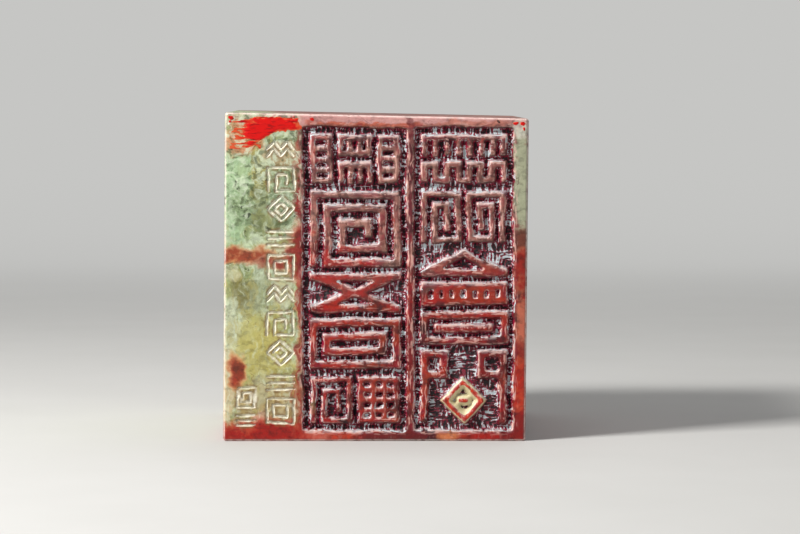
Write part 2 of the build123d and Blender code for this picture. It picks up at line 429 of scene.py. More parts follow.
@dataclass(frozen=True)
class VeinedStone:
    """Polished soft stone: pale green, shot through with red, orange and brown."""

    celadon: Colour = from_screen(160, 176, 128)
    grey_green: Colour = from_screen(122, 134, 90)
    moss: Colour = from_screen(62, 72, 38)
    ochre: Colour = from_screen(176, 164, 96)
    milk: Colour = from_screen(206, 218, 190)
    pit: Colour = from_screen(40, 38, 26)
    rose_brown: Colour = from_screen(134, 78, 72)
    plum: Colour = from_screen(84, 28, 38)
    flesh: Colour = from_screen(172, 122, 108)
    blood_red: Colour = from_screen(158, 12, 6)
    maroon: Colour = from_screen(66, 8, 12)
    orange: Colour = from_screen(168, 56, 26)
    # Pale chipped stone, also used as a painted highlight on the carving's edges.
    chipped: Colour = from_screen(230, 180, 168)
    fresh_cut: Colour = from_screen(238, 234, 214)
    cut_shadow: Colour = from_screen(122, 92, 54)
    # Pale worn edges, which also stand as a painted highlight along them.
    worn_edge_and_highlight: Colour = from_screen(238, 218, 210)
    # Pale bruised stone, also used as painted highlight and glints on the carving.
    bruised_and_highlight: Colour = from_screen(196, 208, 212)
    stained: Colour = from_screen(138, 10, 46)
    # Near black: dark residue, and painted shade deep in the carving.
    dark_residue_and_shade: Colour = from_screen(30, 14, 22)
    accent_orange: Colour = from_screen(208, 54, 12)
    accent_cream: Colour = from_screen(226, 216, 172)
    green_border: tuple[float, float] = (-16.4, -17.8)
    border_lean: float = 0.22
    rose_turns_red: tuple[float, float] = (49.0, 30.0)
    green_turns_ochre: tuple[float, float] = (48.0, 30.0)
    clouds: tuple[StoneCloud, ...] = (
        StoneCloud(-32.0, 60.0, 4.0, 15.0, (160, 190, 148), 0.8, 0.4),
        StoneCloud(-25.0, 53.5, 8.0, 5.5, (112, 128, 92), 0.6, 0.6),
        StoneCloud(-21.0, 60.0, 4.0, 9.0, (142, 162, 128), 0.7, 0.6),
        StoneCloud(-31.2, 34.5, 3.0, 4.2, (116, 106, 54), 0.75, 0.6),
        StoneCloud(-26.4, 34.0, 3.6, 5.0, (148, 154, 118), 0.7, 0.6),
        StoneCloud(-21.4, 34.0, 2.6, 4.0, (190, 190, 160), 0.7, 0.6),
        StoneCloud(-33.0, 39.0, 1.8, 2.0, (208, 204, 166), 0.6, 1.0),
        StoneCloud(-26.0, 21.0, 7.0, 9.0, (182, 172, 96), 0.8, 0.6),
        StoneCloud(-33.4, 26.0, 2.0, 7.0, (204, 208, 176), 0.7, 0.6),
        StoneCloud(-24.0, 9.0, 9.0, 5.0, (180, 146, 96), 0.7, 0.6),
        StoneCloud(-26.5, 12.0, 2.4, 4.0, (176, 176, 142), 0.6, 0.7),
        StoneCloud(-34.4, 13.0, 1.8, 9.0, (206, 184, 146), 0.85, 0.7, half_depth=6.0),
        StoneCloud(-29.8, 51.6, 1.5, 0.4, (44, 48, 40), 0.85, 0.5, half_depth=1.0),
        StoneCloud(-29.6, 58.9, 0.6, 0.5, (66, 72, 52), 0.85, 0.5, half_depth=1.0),
        StoneCloud(-24.6, 49.2, 1.2, 0.4, (72, 78, 56), 0.8, 0.5, half_depth=1.0),
        StoneCloud(-17.6, 60.0, 1.1, 13.0, (136, 84, 78), 0.85, 0.6, half_depth=8.0),
        StoneCloud(-17.6, 26.0, 0.9, 12.0, (196, 134, 108), 0.65, 0.7, half_depth=8.0),
        StoneCloud(-18.0, 9.0, 1.6, 8.0, (156, 66, 44), 0.8, 0.6, half_depth=8.0),
        StoneCloud(-17.6, 38.0, 0.5, 36.0, (140, 12, 22), 0.85, 0.7, half_depth=5.0),
        StoneCloud(-31.0, 43.2, 6.5, 1.5, (142, 50, 28), 0.9, 0.8, glow=(206, 132, 88)),
        StoneCloud(-22.5, 41.4, 4.6, 1.2, (138, 40, 30), 0.9, 0.9, glow=(190, 132, 104)),
        StoneCloud(-17.6, 43.5, 2.2, 5.6, (132, 20, 22), 0.9, 0.6, glow=(196, 116, 92)),
        StoneCloud(-32.2, 16.0, 1.2, 3.2, (150, 26, 14), 0.9, 1.0, half_depth=6.0, glow=(212, 136, 88)),
        StoneCloud(-30.5, 70.0, 4.6, 3.8, (206, 126, 88), 0.8, 0.7, half_depth=8.0),
        StoneCloud(-21.0, 66.6, 4.0, 2.6, (184, 132, 100), 0.5, 0.7, half_depth=8.0),
        StoneCloud(-27.0, 1.2, 13.0, 3.0, (150, 6, 4), 0.95, 0.7, glow=(186, 56, 34)),
        StoneCloud(-26.4, 5.6, 2.6, 1.4, (200, 152, 134), 0.7, 0.7),
        StoneCloud(33.6, 62.0, 2.4, 13.0, (164, 168, 140), 0.95, 0.4),
        StoneCloud(33.4, 72.4, 2.4, 2.4, (206, 202, 190), 0.7, 0.7, half_depth=6.0),
        StoneCloud(34.0, 46.5, 2.8, 3.0, (104, 48, 34), 0.9, 0.6),
        StoneCloud(34.0, 39.0, 3.2, 4.4, (142, 14, 8), 0.9, 0.5, glow=(176, 92, 66)),
        StoneCloud(34.4, 27.5, 2.2, 6.0, (190, 104, 80), 0.85, 0.5),
        StoneCloud(33.2, 20.0, 3.4, 4.0, (130, 34, 24), 0.8, 0.5),
        StoneCloud(34.0, 13.0, 3.4, 5.0, (170, 28, 10), 0.9, 0.5, glow=(188, 72, 40)),
        StoneCloud(32.0, 4.0, 4.4, 3.4, (122, 12, 10), 0.85, 0.5),
        StoneCloud(5.0, 1.2, 9.0, 2.0, (96, 22, 22), 0.85, 0.6),
        StoneCloud(17.0, 1.4, 2.6, 2.0, (212, 124, 76), 0.9, 0.6),
        StoneCloud(-8.0, 1.4, 4.0, 2.0, (190, 60, 34), 0.8, 0.6),
        StoneCloud(-14.0, 1.2, 3.0, 2.0, (200, 156, 136), 0.7, 0.6),
        StoneCloud(25.0, 1.4, 3.0, 2.0, (170, 20, 8), 0.8, 0.6),
        StoneCloud(6.0, 75.4, 36.0, 2.8, (204, 150, 146), 0.9, 0.7, half_depth=5.0),
        StoneCloud(-2.0, 73.0, 14.0, 0.9, (188, 88, 58), 0.85, 0.6),
        StoneCloud(20.0, 73.2, 10.0, 0.9, (190, 114, 94), 0.7, 0.6),
        StoneCloud(28.3, 73.2, 0.32, 0.32, (20, 10, 12), 0.95, 0.3, half_depth=1.0),
        StoneCloud(8.0, 58.0, 0.8, 18.0, (104, 20, 34), 0.9, 0.6, half_depth=5.0),
        StoneCloud(8.0, 18.0, 0.9, 20.0, (112, 10, 16), 0.85, 0.6, half_depth=5.0),
        StoneCloud(-8.0, 60.0, 7.0, 9.0, (118, 72, 66), 0.6, 0.6),
        StoneCloud(22.0, 54.0, 8.0, 9.0, (132, 80, 70), 0.7, 0.6),
        StoneCloud(17.3, 66.5, 1.1, 1.3, (226, 70, 18), 0.95, 0.5, half_depth=5.0),
        StoneCloud(-9.0, 41.0, 9.0, 4.0, (172, 30, 22), 0.75, 0.5),
        StoneCloud(-8.0, 24.0, 7.0, 9.0, (176, 46, 28), 0.7, 0.6),
        StoneCloud(-3.0, 12.0, 6.0, 6.0, (156, 52, 36), 0.6, 0.6),
        StoneCloud(20.0, 27.0, 9.0, 4.0, (160, 34, 20), 0.7, 0.6),
        StoneCloud(24.0, 18.0, 9.0, 6.0, (112, 8, 8), 0.8, 0.6),
        StoneCloud(-20.0, 30.0, 22.0, 22.0, (176, 160, 120), 0.7, 0.6, 30.0, 24.0),
        StoneCloud(15.0, 55.0, 22.0, 16.0, (160, 100, 82), 0.8, 0.6, 32.0, 24.0),
        StoneCloud(20.0, 12.0, 20.0, 14.0, (170, 66, 38), 0.7, 0.6, 34.0, 26.0),
    )

    def material(self) -> bpy.types.Material:
        """Builds the stone's material.

        Returns:
            A material that reads the numbers that the mesh holds.
        """
        web = NodeWeb("veined_stone")
        place = web.place()
        broad = web.noise(place, 15.0, 3.0, "Color")
        close = web.noise(place, 4.0, 4.0, "Color")
        # Near frays every outline, and far sets the bands of colour adrift too.
        near = web.vector("ADD", place, web.scattered(close, 5.0, 5.0, 5.0))
        far = web.vector("ADD", near, web.scattered(broad, 14.0, 26.0, 14.0))
        torn = (web.noise(place, 4.2, 7.0) - 0.5) * 2.2 + (web.noise(place, 1.1, 5.0) - 0.5) * 1.6
        across, depth, up = web.axes(near)
        wander = (web.noise(place, 26.0, 3.0) - 0.5) * 1.6
        # The border between green and red leans one way or the other behind the front.
        behind_front = depth - FRONT_AT
        green_side = web.fade(across + behind_front * (wander + self.border_lean), *self.green_border)
        colour = self._body(web, green_side, near, far)
        for cloud in (cloud for cloud in self.clouds if not cloud.glow):
            colour = self._add_cloud(web, colour, cloud, near, torn)
        crumble_share = green_side * (0.3 + 0.7 * web.fade(depth, -10.0, -32.0))
        colour = self._crumble(web, colour, crumble_share, near, up)
        for cloud in (cloud for cloud in self.clouds if cloud.glow):
            colour = self._add_cloud(web, colour, cloud, near, torn)
        colour = self._mottle(web, colour, place, near)
        colour = self._carve(web, colour, place)
        grain = web.noise(place, 0.5, 3.0)
        haze = web.noise(place, 6.0, 2.0)
        ground = web.fade(web.measured("sunk"), 0.6, 0.95)
        roughness = web.clamp(0.24 + 0.2 * haze + 0.12 * web.measured("worked") + 0.34 * ground)
        normal = web.bump(grain + web.noise(place, 2.5, 2.0) * 1.5, 0.00007, 0.8)
        return web.surface(
            Base_Color=colour, Roughness=roughness, Normal=normal, IOR=1.54, Specular_IOR_Level=0.38,
        )

    def _body(self, web: NodeWeb, green_side: Wire, near: Wire, far: Wire) -> Wire:
        """Base colour: green on the strip's side, rose brown above and blood red below.

        Args:
            web: Nodes of the material.
            green_side: One where the stone is green.
            near: The place, frayed.
            far: The place, frayed and adrift.

        Returns:
            The colour.
        """
        _, _, up = web.axes(far)
        banks = web.noise(far, 17.0, 4.0)
        patches = web.noise(far, 7.0, 6.0)
        shreds = web.noise(near, 1.8, 5.0)
        veins = web.vein(far, 13.0, 4.0)
        curds = web.vein(near, 3.6, 5.0)
        threads = web.noise(web.stretched(near, 1.0, 1.0, 0.3), 1.3, 5.0)
        red = web.layers(
            self.blood_red,
            (web.fade(patches, 0.42, 0.62), self.maroon),
            (web.fade(banks, 0.52, 0.6) * 0.6, self.orange),
            (web.fade(shreds, 0.56, 0.68) * 0.5, self.orange),
        )
        rose = web.layers(
            self.rose_brown,
            (web.fade(patches, 0.4, 0.6), self.flesh),
            (web.fade(banks, 0.48, 0.58) * 0.8, self.plum),
            (web.fade(shreds, 0.5, 0.64) * 0.5, self.flesh),
            (web.fade(veins, 0.03, 0.0) * web.fade(shreds, 0.44, 0.6) * 0.7, self.blood_red),
        )
        green = web.layers(
            self.celadon,
            (web.fade(patches, 0.4, 0.62), self.grey_green),
            (web.fade(banks, 0.54, 0.64) * 0.7, self.ochre),
            (web.fade(shreds, 0.54, 0.64) * web.fade(patches, 0.42, 0.56) * 0.8, self.moss),
            (web.fade(veins, 0.045, 0.0) * 0.6, self.milk),
            (web.fade(curds, 0.03, 0.0) * 0.45, self.milk),
            (web.fade(threads, 0.53, 0.66) * 0.5, self.ochre),
            (web.fade(threads, 0.46, 0.36) * 0.5, self.milk),
        )
        return web.layers(rose, (web.fade(up, *self.rose_turns_red), red), (green_side, green))

    def _crumble(self, web: NodeWeb, colour: Wire, green_side: Wire, near: Wire, up: Wire) -> Wire:
        """Crumbly milk and moss in the green stone, most of it near the crown.

        Args:
            web: Nodes of the material.
            colour: Colour so far.
            green_side: One where the stone is green.
            near: The place, frayed.
            up: Height of the frayed place.

        Returns:
            The colour with the crumbs in it.
        """
        crumbs = web.noise(near, 1.5, 6.0)
        pits = web.noise(near, 2.4, 5.0)
        crumbly = green_side * web.fade(web.noise(near, 9.0, 3.0) + (up - 50.0) * 0.012, 0.44, 0.58)
        streaky = web.noise(web.stretched(near, 1.0, 1.0, 0.22), 1.2, 6.0)
        low_down = web.fade(up, *self.green_turns_ochre)
        return web.layers(
            colour,
            (green_side * web.fade(streaky, 0.52, 0.68) * 0.4, self.milk),
            (green_side * low_down * web.fade(streaky, 0.5, 0.34) * 0.5, self.ochre),
            (crumbly * web.fade(crumbs, 0.5, 0.64) * 0.7, self.milk),
            (crumbly * web.fade(crumbs, 0.47, 0.36) * 0.65, self.moss),
            (crumbly * web.fade(pits, 0.66, 0.72) * 0.8, self.pit),
        )

    def _add_cloud(self, web: NodeWeb, colour: Wire, cloud: StoneCloud, near: Wire, torn: Wire) -> Wire:
        """Lays one cloud of colour over the stone.

        Args:
            web: Nodes of the material.
            colour: Colour so far.
            cloud: The cloud.
            near: The place, frayed.
            torn: What the cloud's outline gains and loses.

        Returns:
            The colour with the cloud in it.
        """
        across, depth, up = web.axes(near)
        sideways = (across - cloud.across) / cloud.half_width
        upwards = (up - cloud.up) / cloud.half_height
        inwards = (depth - cloud.back) / cloud.half_depth
        reach = sideways * sideways + upwards * upwards + inwards * inwards + torn
        inner = from_screen(*cloud.colour)
        if cloud.glow:
            glow = from_screen(*cloud.glow)
            outer = web.fade(reach, 1.0 + 2.4 * cloud.softness, 1.0 - 0.2 * cloud.softness)
            colour = web.blend(outer * (0.9 * cloud.strength), colour, glow)
            inner = web.blend(web.fade(torn, 0.05, 0.6) * 0.6, inner, glow)
            inner = web.shade(inner, web.fade(torn, -0.05, -0.6), 0.45)
        share = web.fade(reach, 1.0 + cloud.softness, 1.0 - cloud.softness)
        return web.blend(share * cloud.strength, colour, inner)

    def _mottle(self, web: NodeWeb, colour: Wire, place: Wire, near: Wire) -> Wire:
        """Adds cloudy light and dark, and a few fine dark cracks through the whole stone.

        Args:
            web: Nodes of the material.
            colour: Colour so far.
            place: The place.
            near: The place, frayed.

        Returns:
            The mottled colour.
        """
        cloudy = web.noise(place, 5.0, 6.0)
        fine = web.noise(place, 0.8, 4.0)
        colour = web.shade(colour, 0.85, 0.42 + 0.6 * cloudy + 0.56 * fine)
        threads = web.noise(web.stretched(near, 0.5, 1.0, 1.0), 1.2, 6.0)
        colour = web.shade(colour, web.fade(threads, 0.5, 0.36) * 0.5, 0.45)
        crack = web.fade(web.vein(near, 16.0, 2.0), 0.004, 0.0) * web.fade(cloudy, 0.48, 0.6)
        return web.blend(crack * 0.7, colour, self.maroon)

    def _carve(self, web: NodeWeb, colour: Wire, place: Wire) -> Wire:
        """Colours what the chisel did: streaked tops, lined flanks, bruised ridges and bright cuts, with
        painted highlight and glints where the carving faces up or stands high, and painted shade where it
        faces down or lies deep.

        Args:
            web: Nodes of the material.
            colour: Colour so far.
            place: The place.

        Returns:
            The colour of the carved stone.
        """
        patchy = web.noise(place, 1.3, 5.0)
        sharp = web.noise(place, 0.55, 3.0)
        smudge = web.noise(place, 2.6, 6.0)
        along, athwart = web.streaks(place, 0.5)
        accent = web.measured("accent")
        worked = web.measured("worked")
        sunk = web.measured("sunk")
        lit = web.clamp(web.measured("facing"))
        shaded = web.clamp(web.measured("facing") * -1.0)
        marks_and_light = TracesAndPaintedLight(lit, shaded, smudge, patchy, along, athwart)
        tops = web.layers(
            colour,
            (accent * 0.9, self.accent_orange),
            (worked * web.fade(smudge, 0.52, 0.62) * 0.45, self.stained),
            (worked * web.fade(smudge, 0.45, 0.36) * 0.5, self.dark_residue_and_shade),
            (worked * web.fade(along, 0.47, 0.38) * 0.35, self.plum),
            # Painted highlight: tops near an edge that faces up take more chipped and bruised pale.
            (worked * web.fade(along + lit * 0.14 - shaded * 0.05, 0.53, 0.64) * 0.6, self.chipped),
            (worked * lit * web.fade(patchy, 0.4, 0.54) * 0.38, self.bruised_and_highlight),
        )
        # Painted shade: tops darken near an edge that faces down.
        tops = web.shade(tops, worked * shaded * 0.9, 0.5)
        # Pale chips on the strokes' rims, partly a painted highlight along their edges.
        tops = web.blend(web.measured("rim") * web.fade(patchy, 0.42, 0.56) * 0.5, tops, self.chipped)
        # Streaks of the sunk ground: near black as dark residue and painted shade, crimson stain, and pale
        # bruises that also stand for painted glints; paler on the facets' crests.
        streak = (athwart - 0.5) * 2.4 + (smudge - 0.5) * 1.2 + web.measured("crest") * 0.25
        pits = web.pitted(streak, self.dark_residue_and_shade, self.stained, self.bruised_and_highlight)
        pits = web.blend(accent * 0.7, pits, self.accent_cream)
        flanks = self._flanks(web, tops, pits, marks_and_light)
        flanks = web.blend(accent * 0.85, flanks, self.accent_cream)
        return web.layers(
            tops,
            (web.fade(sunk + (along - 0.5) * 0.2, 0.03, 0.12), flanks),
            (web.fade(sunk + (athwart - 0.5) * 0.8, 0.4, 0.7), pits),
            # Pale wear and a painted highlight along the rounded edges.
            (web.measured("edge") * (0.4 + 0.6 * web.fade(patchy, 0.35, 0.55)), self.worn_edge_and_highlight),
            (web.measured("halo") * web.fade(patchy, 0.4, 0.56) * 0.75, self.cut_shadow),
            (web.measured("cut") * (0.35 + 0.4 * sharp + 0.5 * web.fade(patchy, 0.4, 0.55)), self.fresh_cut),
        )

    def _flanks(self, web: NodeWeb, tops: Wire, pits: Wire, marks_and_light: TracesAndPaintedLight) -> Wire:
        """Colours the strokes' flanks: a pale or stained brim, then a crimson line, then the pits, with
        painted highlight on flanks that face up and painted shade on those that face down and deeper in.

        Args:
            web: Nodes of the material.
            tops: Colour of the strokes' tops.
            pits: Colour of the sunk ground.
            marks_and_light: What the chisel left, and where painted highlight and painted shade go.

        Returns:
            The colour of the flanks.
        """
        along = marks_and_light.along - 0.5
        lined = web.measured("sunk") + along * 1.4
        # Painted light: flanks that face up turn paler as a highlight, and those that face down darker as
        # shade.
        tilt = marks_and_light.lit * 0.1 - marks_and_light.shaded * 0.3
        paleness_and_highlight = marks_and_light.smudge + along * 0.7 + (marks_and_light.athwart - 0.5) * 0.5 + tilt
        pale = web.blend(web.fade(marks_and_light.patchy, 0.42, 0.6), self.bruised_and_highlight, self.chipped)
        # Where it is not pale, the brim takes the tops' colour darkened, as painted shade on the wall.
        brim = web.blend(web.fade(paleness_and_highlight, 0.46, 0.56), web.shade(tops, 1.0, 0.6), pale)
        flanks = web.layers(
            pits,
            (web.fade(lined, 0.56, 0.4) * web.fade(marks_and_light.patchy, 0.36, 0.5), self.stained),
            (web.fade(lined, 0.36, 0.2), brim),
        )
        # Painted shade on flanks that face down, and a painted highlight on those that face up.
        flanks = web.shade(flanks, marks_and_light.shaded * 0.8, 0.5)
        return web.blend(marks_and_light.lit * web.fade(marks_and_light.patchy, 0.42, 0.54) * 0.5, flanks, self.bruised_and_highlight)


@dataclass(frozen=True)
class DriedPaste:
    """Old vermilion paste, in streaks of nearly black, crimson, and pale dust that also stands for painted
    glints.
    """

    dark: Colour = from_screen(26, 10, 18)
    crimson: Colour = from_screen(120, 10, 40)
    scarlet: Colour = from_screen(160, 24, 26)
    # Pale dust, which also stands for painted glints.
    dust_and_glint: Colour = from_screen(188, 200, 206)

    def material(self) -> bpy.types.Material:
        """Builds the paste's material.

        Returns:
            A material with streaks that run square to the carved walls.
        """
        web = NodeWeb("dried_paste")
        place = web.place()
        _, athwart = web.streaks(place, 0.5)
        streak = (athwart - 0.5) * 2.4 + (web.noise(place, 2.6, 6.0) - 0.5) * 1.2
        colour = web.pitted(streak - 0.03, self.dark, self.crimson, self.dust_and_glint)
        colour = web.blend(web.fade(web.noise(place, 0.6, 4.0), 0.6, 0.72) * 0.6, colour, self.scarlet)
        roughness = 0.3 + 0.4 * web.noise(place, 1.2, 2.0)
        normal = web.bump(web.noise(place, 0.45, 3.0) + athwart, 0.0003, 1.0)
        return web.surface(Base_Color=colour, Roughness=roughness, Normal=normal, IOR=1.48)


@dataclass(frozen=True)
class FreshPaste:
    """Bright vermilion paste, wiped on thin and streaky."""

    vermilion: Colour = from_screen(208, 8, 6)
    thin: Colour = from_screen(206, 84, 48)
    deep: Colour = from_screen(158, 6, 8)

    def material(self) -> bpy.types.Material:
        """Builds the paste's material.

        Returns:
            A material that reads how thickly the paste lies.
        """
        web = NodeWeb("fresh_paste")
        wiped = web.stretched(web.place(), 0.35, 1.0, 1.6)
        streaks = web.noise(wiped, 1.1, 4.0)
        body = web.measured("thick") + (streaks - 0.5) * 0.5
        colour = web.layers(
            self.thin,
            (web.fade(body, 0.12, 0.5), self.vermilion),
            (web.fade(web.noise(wiped, 0.8, 4.0), 0.5, 0.66), self.deep),
        )
        normal = web.bump(streaks, 0.00012, 0.8)
        return web.surface(
            Base_Color=colour, Roughness=0.5, Normal=normal, IOR=1.48, Specular_IOR_Level=0.25,
        )


def between(table: np.ndarray, i: np.ndarray, j: np.ndarray, up: np.ndarray,
            across: np.ndarray) -> np.ndarray:
    """Reads a table between its numbers, and goes round to its start past its end.

    Args:
        table: Rows of numbers.
        i: Row under each place.
        j: Column left of each place.
        up: Share of the way to the next row.
        across: Share of the way to the next column.

    Returns:
        One number for each place.
    """
    rows, columns = table.shape
    row, above = i % rows, (i + 1) % rows
    left, right = j % columns, (j + 1) % columns
    lower = table[row, left] * (1 - across) + table[row, right] * across
    upper = table[above, left] * (1 - across) + table[above, right] * across
    return lower * (1 - up) + upper * up


class SmoothNoise:
    """Smooth noise over a plane, from a table of random numbers that is the same on every run."""

    SIDE = 128

    def __init__(self, seed: int) -> None:
        """Fills the table.

        Args:
            seed: Number that picks the table.
        """
        self.table = np.random.default_rng(seed).uniform(-1, 1, (self.SIDE, self.SIDE))

    def at(self, across: np.ndarray, up: np.ndarray, size: float) -> np.ndarray:
        """Reads the noise.

        Args:
            across: Places across.
            up: Places up.
            size: Distance between the table's numbers.

        Returns:
            Numbers from -1 to 1.
        """
        u = across / size
        v = up / size
        left = np.floor(u).astype(int)
        foot = np.floor(v).astype(int)
        up_share = smooth_step(v - foot, 0.0, 1.0)
        return between(self.table, foot, left, up_share, smooth_step(u - left, 0.0, 1.0))


@dataclass
class ChiselMarks:
    """The broken facets that a chisel leaves: each is a small plane with its own tilt."""

    size: float
    seed: int
    side: int = 96
    highest: float = 1.2
    offsets: np.ndarray = field(init=False)
    tilts: np.ndarray = field(init=False)
    levels: np.ndarray = field(init=False)

    def __post_init__(self) -> None:
        """Picks each facet's centre, tilt and level."""
        random = np.random.default_rng(self.seed)
        grid = (self.side, self.side)
        self.offsets = random.uniform(0.1, 0.9, (*grid, 2))
        self.tilts = random.normal(0, 1, (*grid, 2))
        self.levels = random.uniform(-1, 1, grid)

    def at(self, across: np.ndarray, up: np.ndarray) -> np.ndarray:
        """Height of the facets.

        Args:
            across: Places across the face.
            up: Places up the face.

        Returns:
            Heights, most of them from -1 to 1.
        """
        u = across / self.size
        v = up / self.size
        column = np.floor(u).astype(int)
        row = np.floor(v).astype(int)
        best = np.full(u.shape, np.inf)
        height = np.zeros(u.shape)
        for side in (-1, 0, 1):
            for rise in (-1, 0, 1):
                i = (row + rise) % self.side
                j = (column + side) % self.side
                near_u = u - (column + side + self.offsets[i, j, 0])
                near_v = v - (row + rise + self.offsets[i, j, 1])
                distance = near_u**2 + near_v**2
                tilt = self.tilts[i, j, 0] * near_u + self.tilts[i, j, 1] * near_v
                closer = distance < best
                height = np.where(closer, 0.5 * self.levels[i, j] + 0.7 * tilt, height)
                best = np.minimum(best, distance)
        return np.clip(height, -self.highest, self.highest)


@dataclass(frozen=True)
class FacePlane:
    """A flat face of the block, and how a place on it is found."""

    origin: Vector
    across: Vector
    up: Vector
    inward: Vector


@dataclass
class CarvedMap:
    """Depths of one carved face under its plane, read from the frame's solid by probing it.

    Beside the drawn depths it keeps them softened, the shares of the depth with sloped flanks, the
    share by which the nearest wall runs level rather than upright, and where the carver worked.
    """

    plane: FacePlane
    low: tuple[float, float]
    high: tuple[float, float]
    pitch: float
    deepest: float
    flank: float
    soft_reach: float = 0.4 * MM
    wide_reach: float = 0.9 * MM
    depths: np.ndarray = field(init=False)
    soft: np.ndarray = field(init=False)
    slopes: np.ndarray = field(init=False)
    level_walls: np.ndarray = field(init=False)
    worked: np.ndarray = field(init=False)

    def read(self, node: bpy.types.Object) -> None:
        """Probes the solid on a grid.

        Args:
            node: The frame's stone.
        """
        mesh = node.data
        points = [vertex.co.copy() for vertex in mesh.vertices]
        tree = BVHTree.FromPolygons(points, [tuple(face.vertices) for face in mesh.polygons])
        columns = int((self.high[0] - self.low[0]) / self.pitch) + 2
        rows = int((self.high[1] - self.low[1]) / self.pitch) + 2
        self.depths = np.zeros((rows, columns))
        stand_off = 5 * MM
        for row in range(rows):
            start = self.plane.origin + self.plane.up * (self.low[1] + row * self.pitch)
            start = start - self.plane.inward * stand_off + self.plane.across * self.low[0]
            for column in range(columns):
                probe = start + self.plane.across * (column * self.pitch)
                _, _, _, distance = tree.ray_cast(probe, self.plane.inward, 2 * stand_off)
                if distance is not None:
                    self.depths[row, column] = distance - stand_off
        self.depths = np.clip(self.depths, 0, self.deepest)
        self.soft = self._blurred(self.depths, int(round(self.soft_reach / self.pitch)))
        self.slopes = self._sloped()
        wide = self._blurred(self.depths, int(round(self.wide_reach / self.pitch)))
        rise, slide = np.gradient(wide)
        faintest = 0.004 * MM
        self.level_walls = rise**2 / (rise**2 + slide**2 + faintest**2)
        self.worked = smooth_step(wide / self.deepest, 0.02, 0.2)

    def _sloped(self) -> np.ndarray:
        """Slopes every stroke's flanks outward, so that they meet in mitred corners.

        Returns:
            Shares of the full depth.
        """
        tops = ~self._grown(self.depths > 0.1 * self.deepest)
        steps = int(round(self.flank / self.pitch))
        shares = np.zeros(tops.shape)
        for _ in range(steps):
            shares += ~tops
            tops = self._grown(tops)
        return self._blurred(shares / steps, 1)

    @staticmethod
    def _grown(mask: np.ndarray) -> np.ndarray:
        """Grows a mask by one grid step all round.

        Args:
            mask: The mask.

        Returns:
            The grown mask.
        """
        for axis in (0, 1):
            mask = mask | np.roll(mask, 1, axis) | np.roll(mask, -1, axis)
        return mask

    @staticmethod
    def _blurred(values: np.ndarray, reach: int) -> np.ndarray:
        """Blurs a map with two passes of a box blur.

        Args:
            values: The map.
            reach: How many grid steps the box reaches to each side.

        Returns:
            The blurred map.
        """
        for _ in range(2):
            for axis in (0, 1):
                total = sum(np.roll(values, shift, axis) for shift in range(-reach, reach + 1))
                values = total / (2 * reach + 1)
        return values

    def sample(self, values: np.ndarray, across: np.ndarray, up: np.ndarray) -> np.ndarray:
        """Reads a map between its grid points.

        Args:
            values: One of the maps.
            across: Places across.
            up: Places up.

        Returns:
            Values at those places.
        """
        rows, columns = values.shape
        u = np.clip((across - self.low[0]) / self.pitch, 0, columns - 1.001)
        v = np.clip((up - self.low[1]) / self.pitch, 0, rows - 1.001)
        i = v.astype(int)
        j = u.astype(int)
        return between(values, i, j, v - i, u - j)


class Motif(Enum):
    """Small cut ornaments of the plain strip, and the score across its upper corner."""

    NEST = "nest"
    LOZENGE = "lozenge"
    BARS = "bars"
    FRET = "fret"
    CHEVRON = "chevron"
    SCORE = "score"


Line = list[tuple[float, float]]


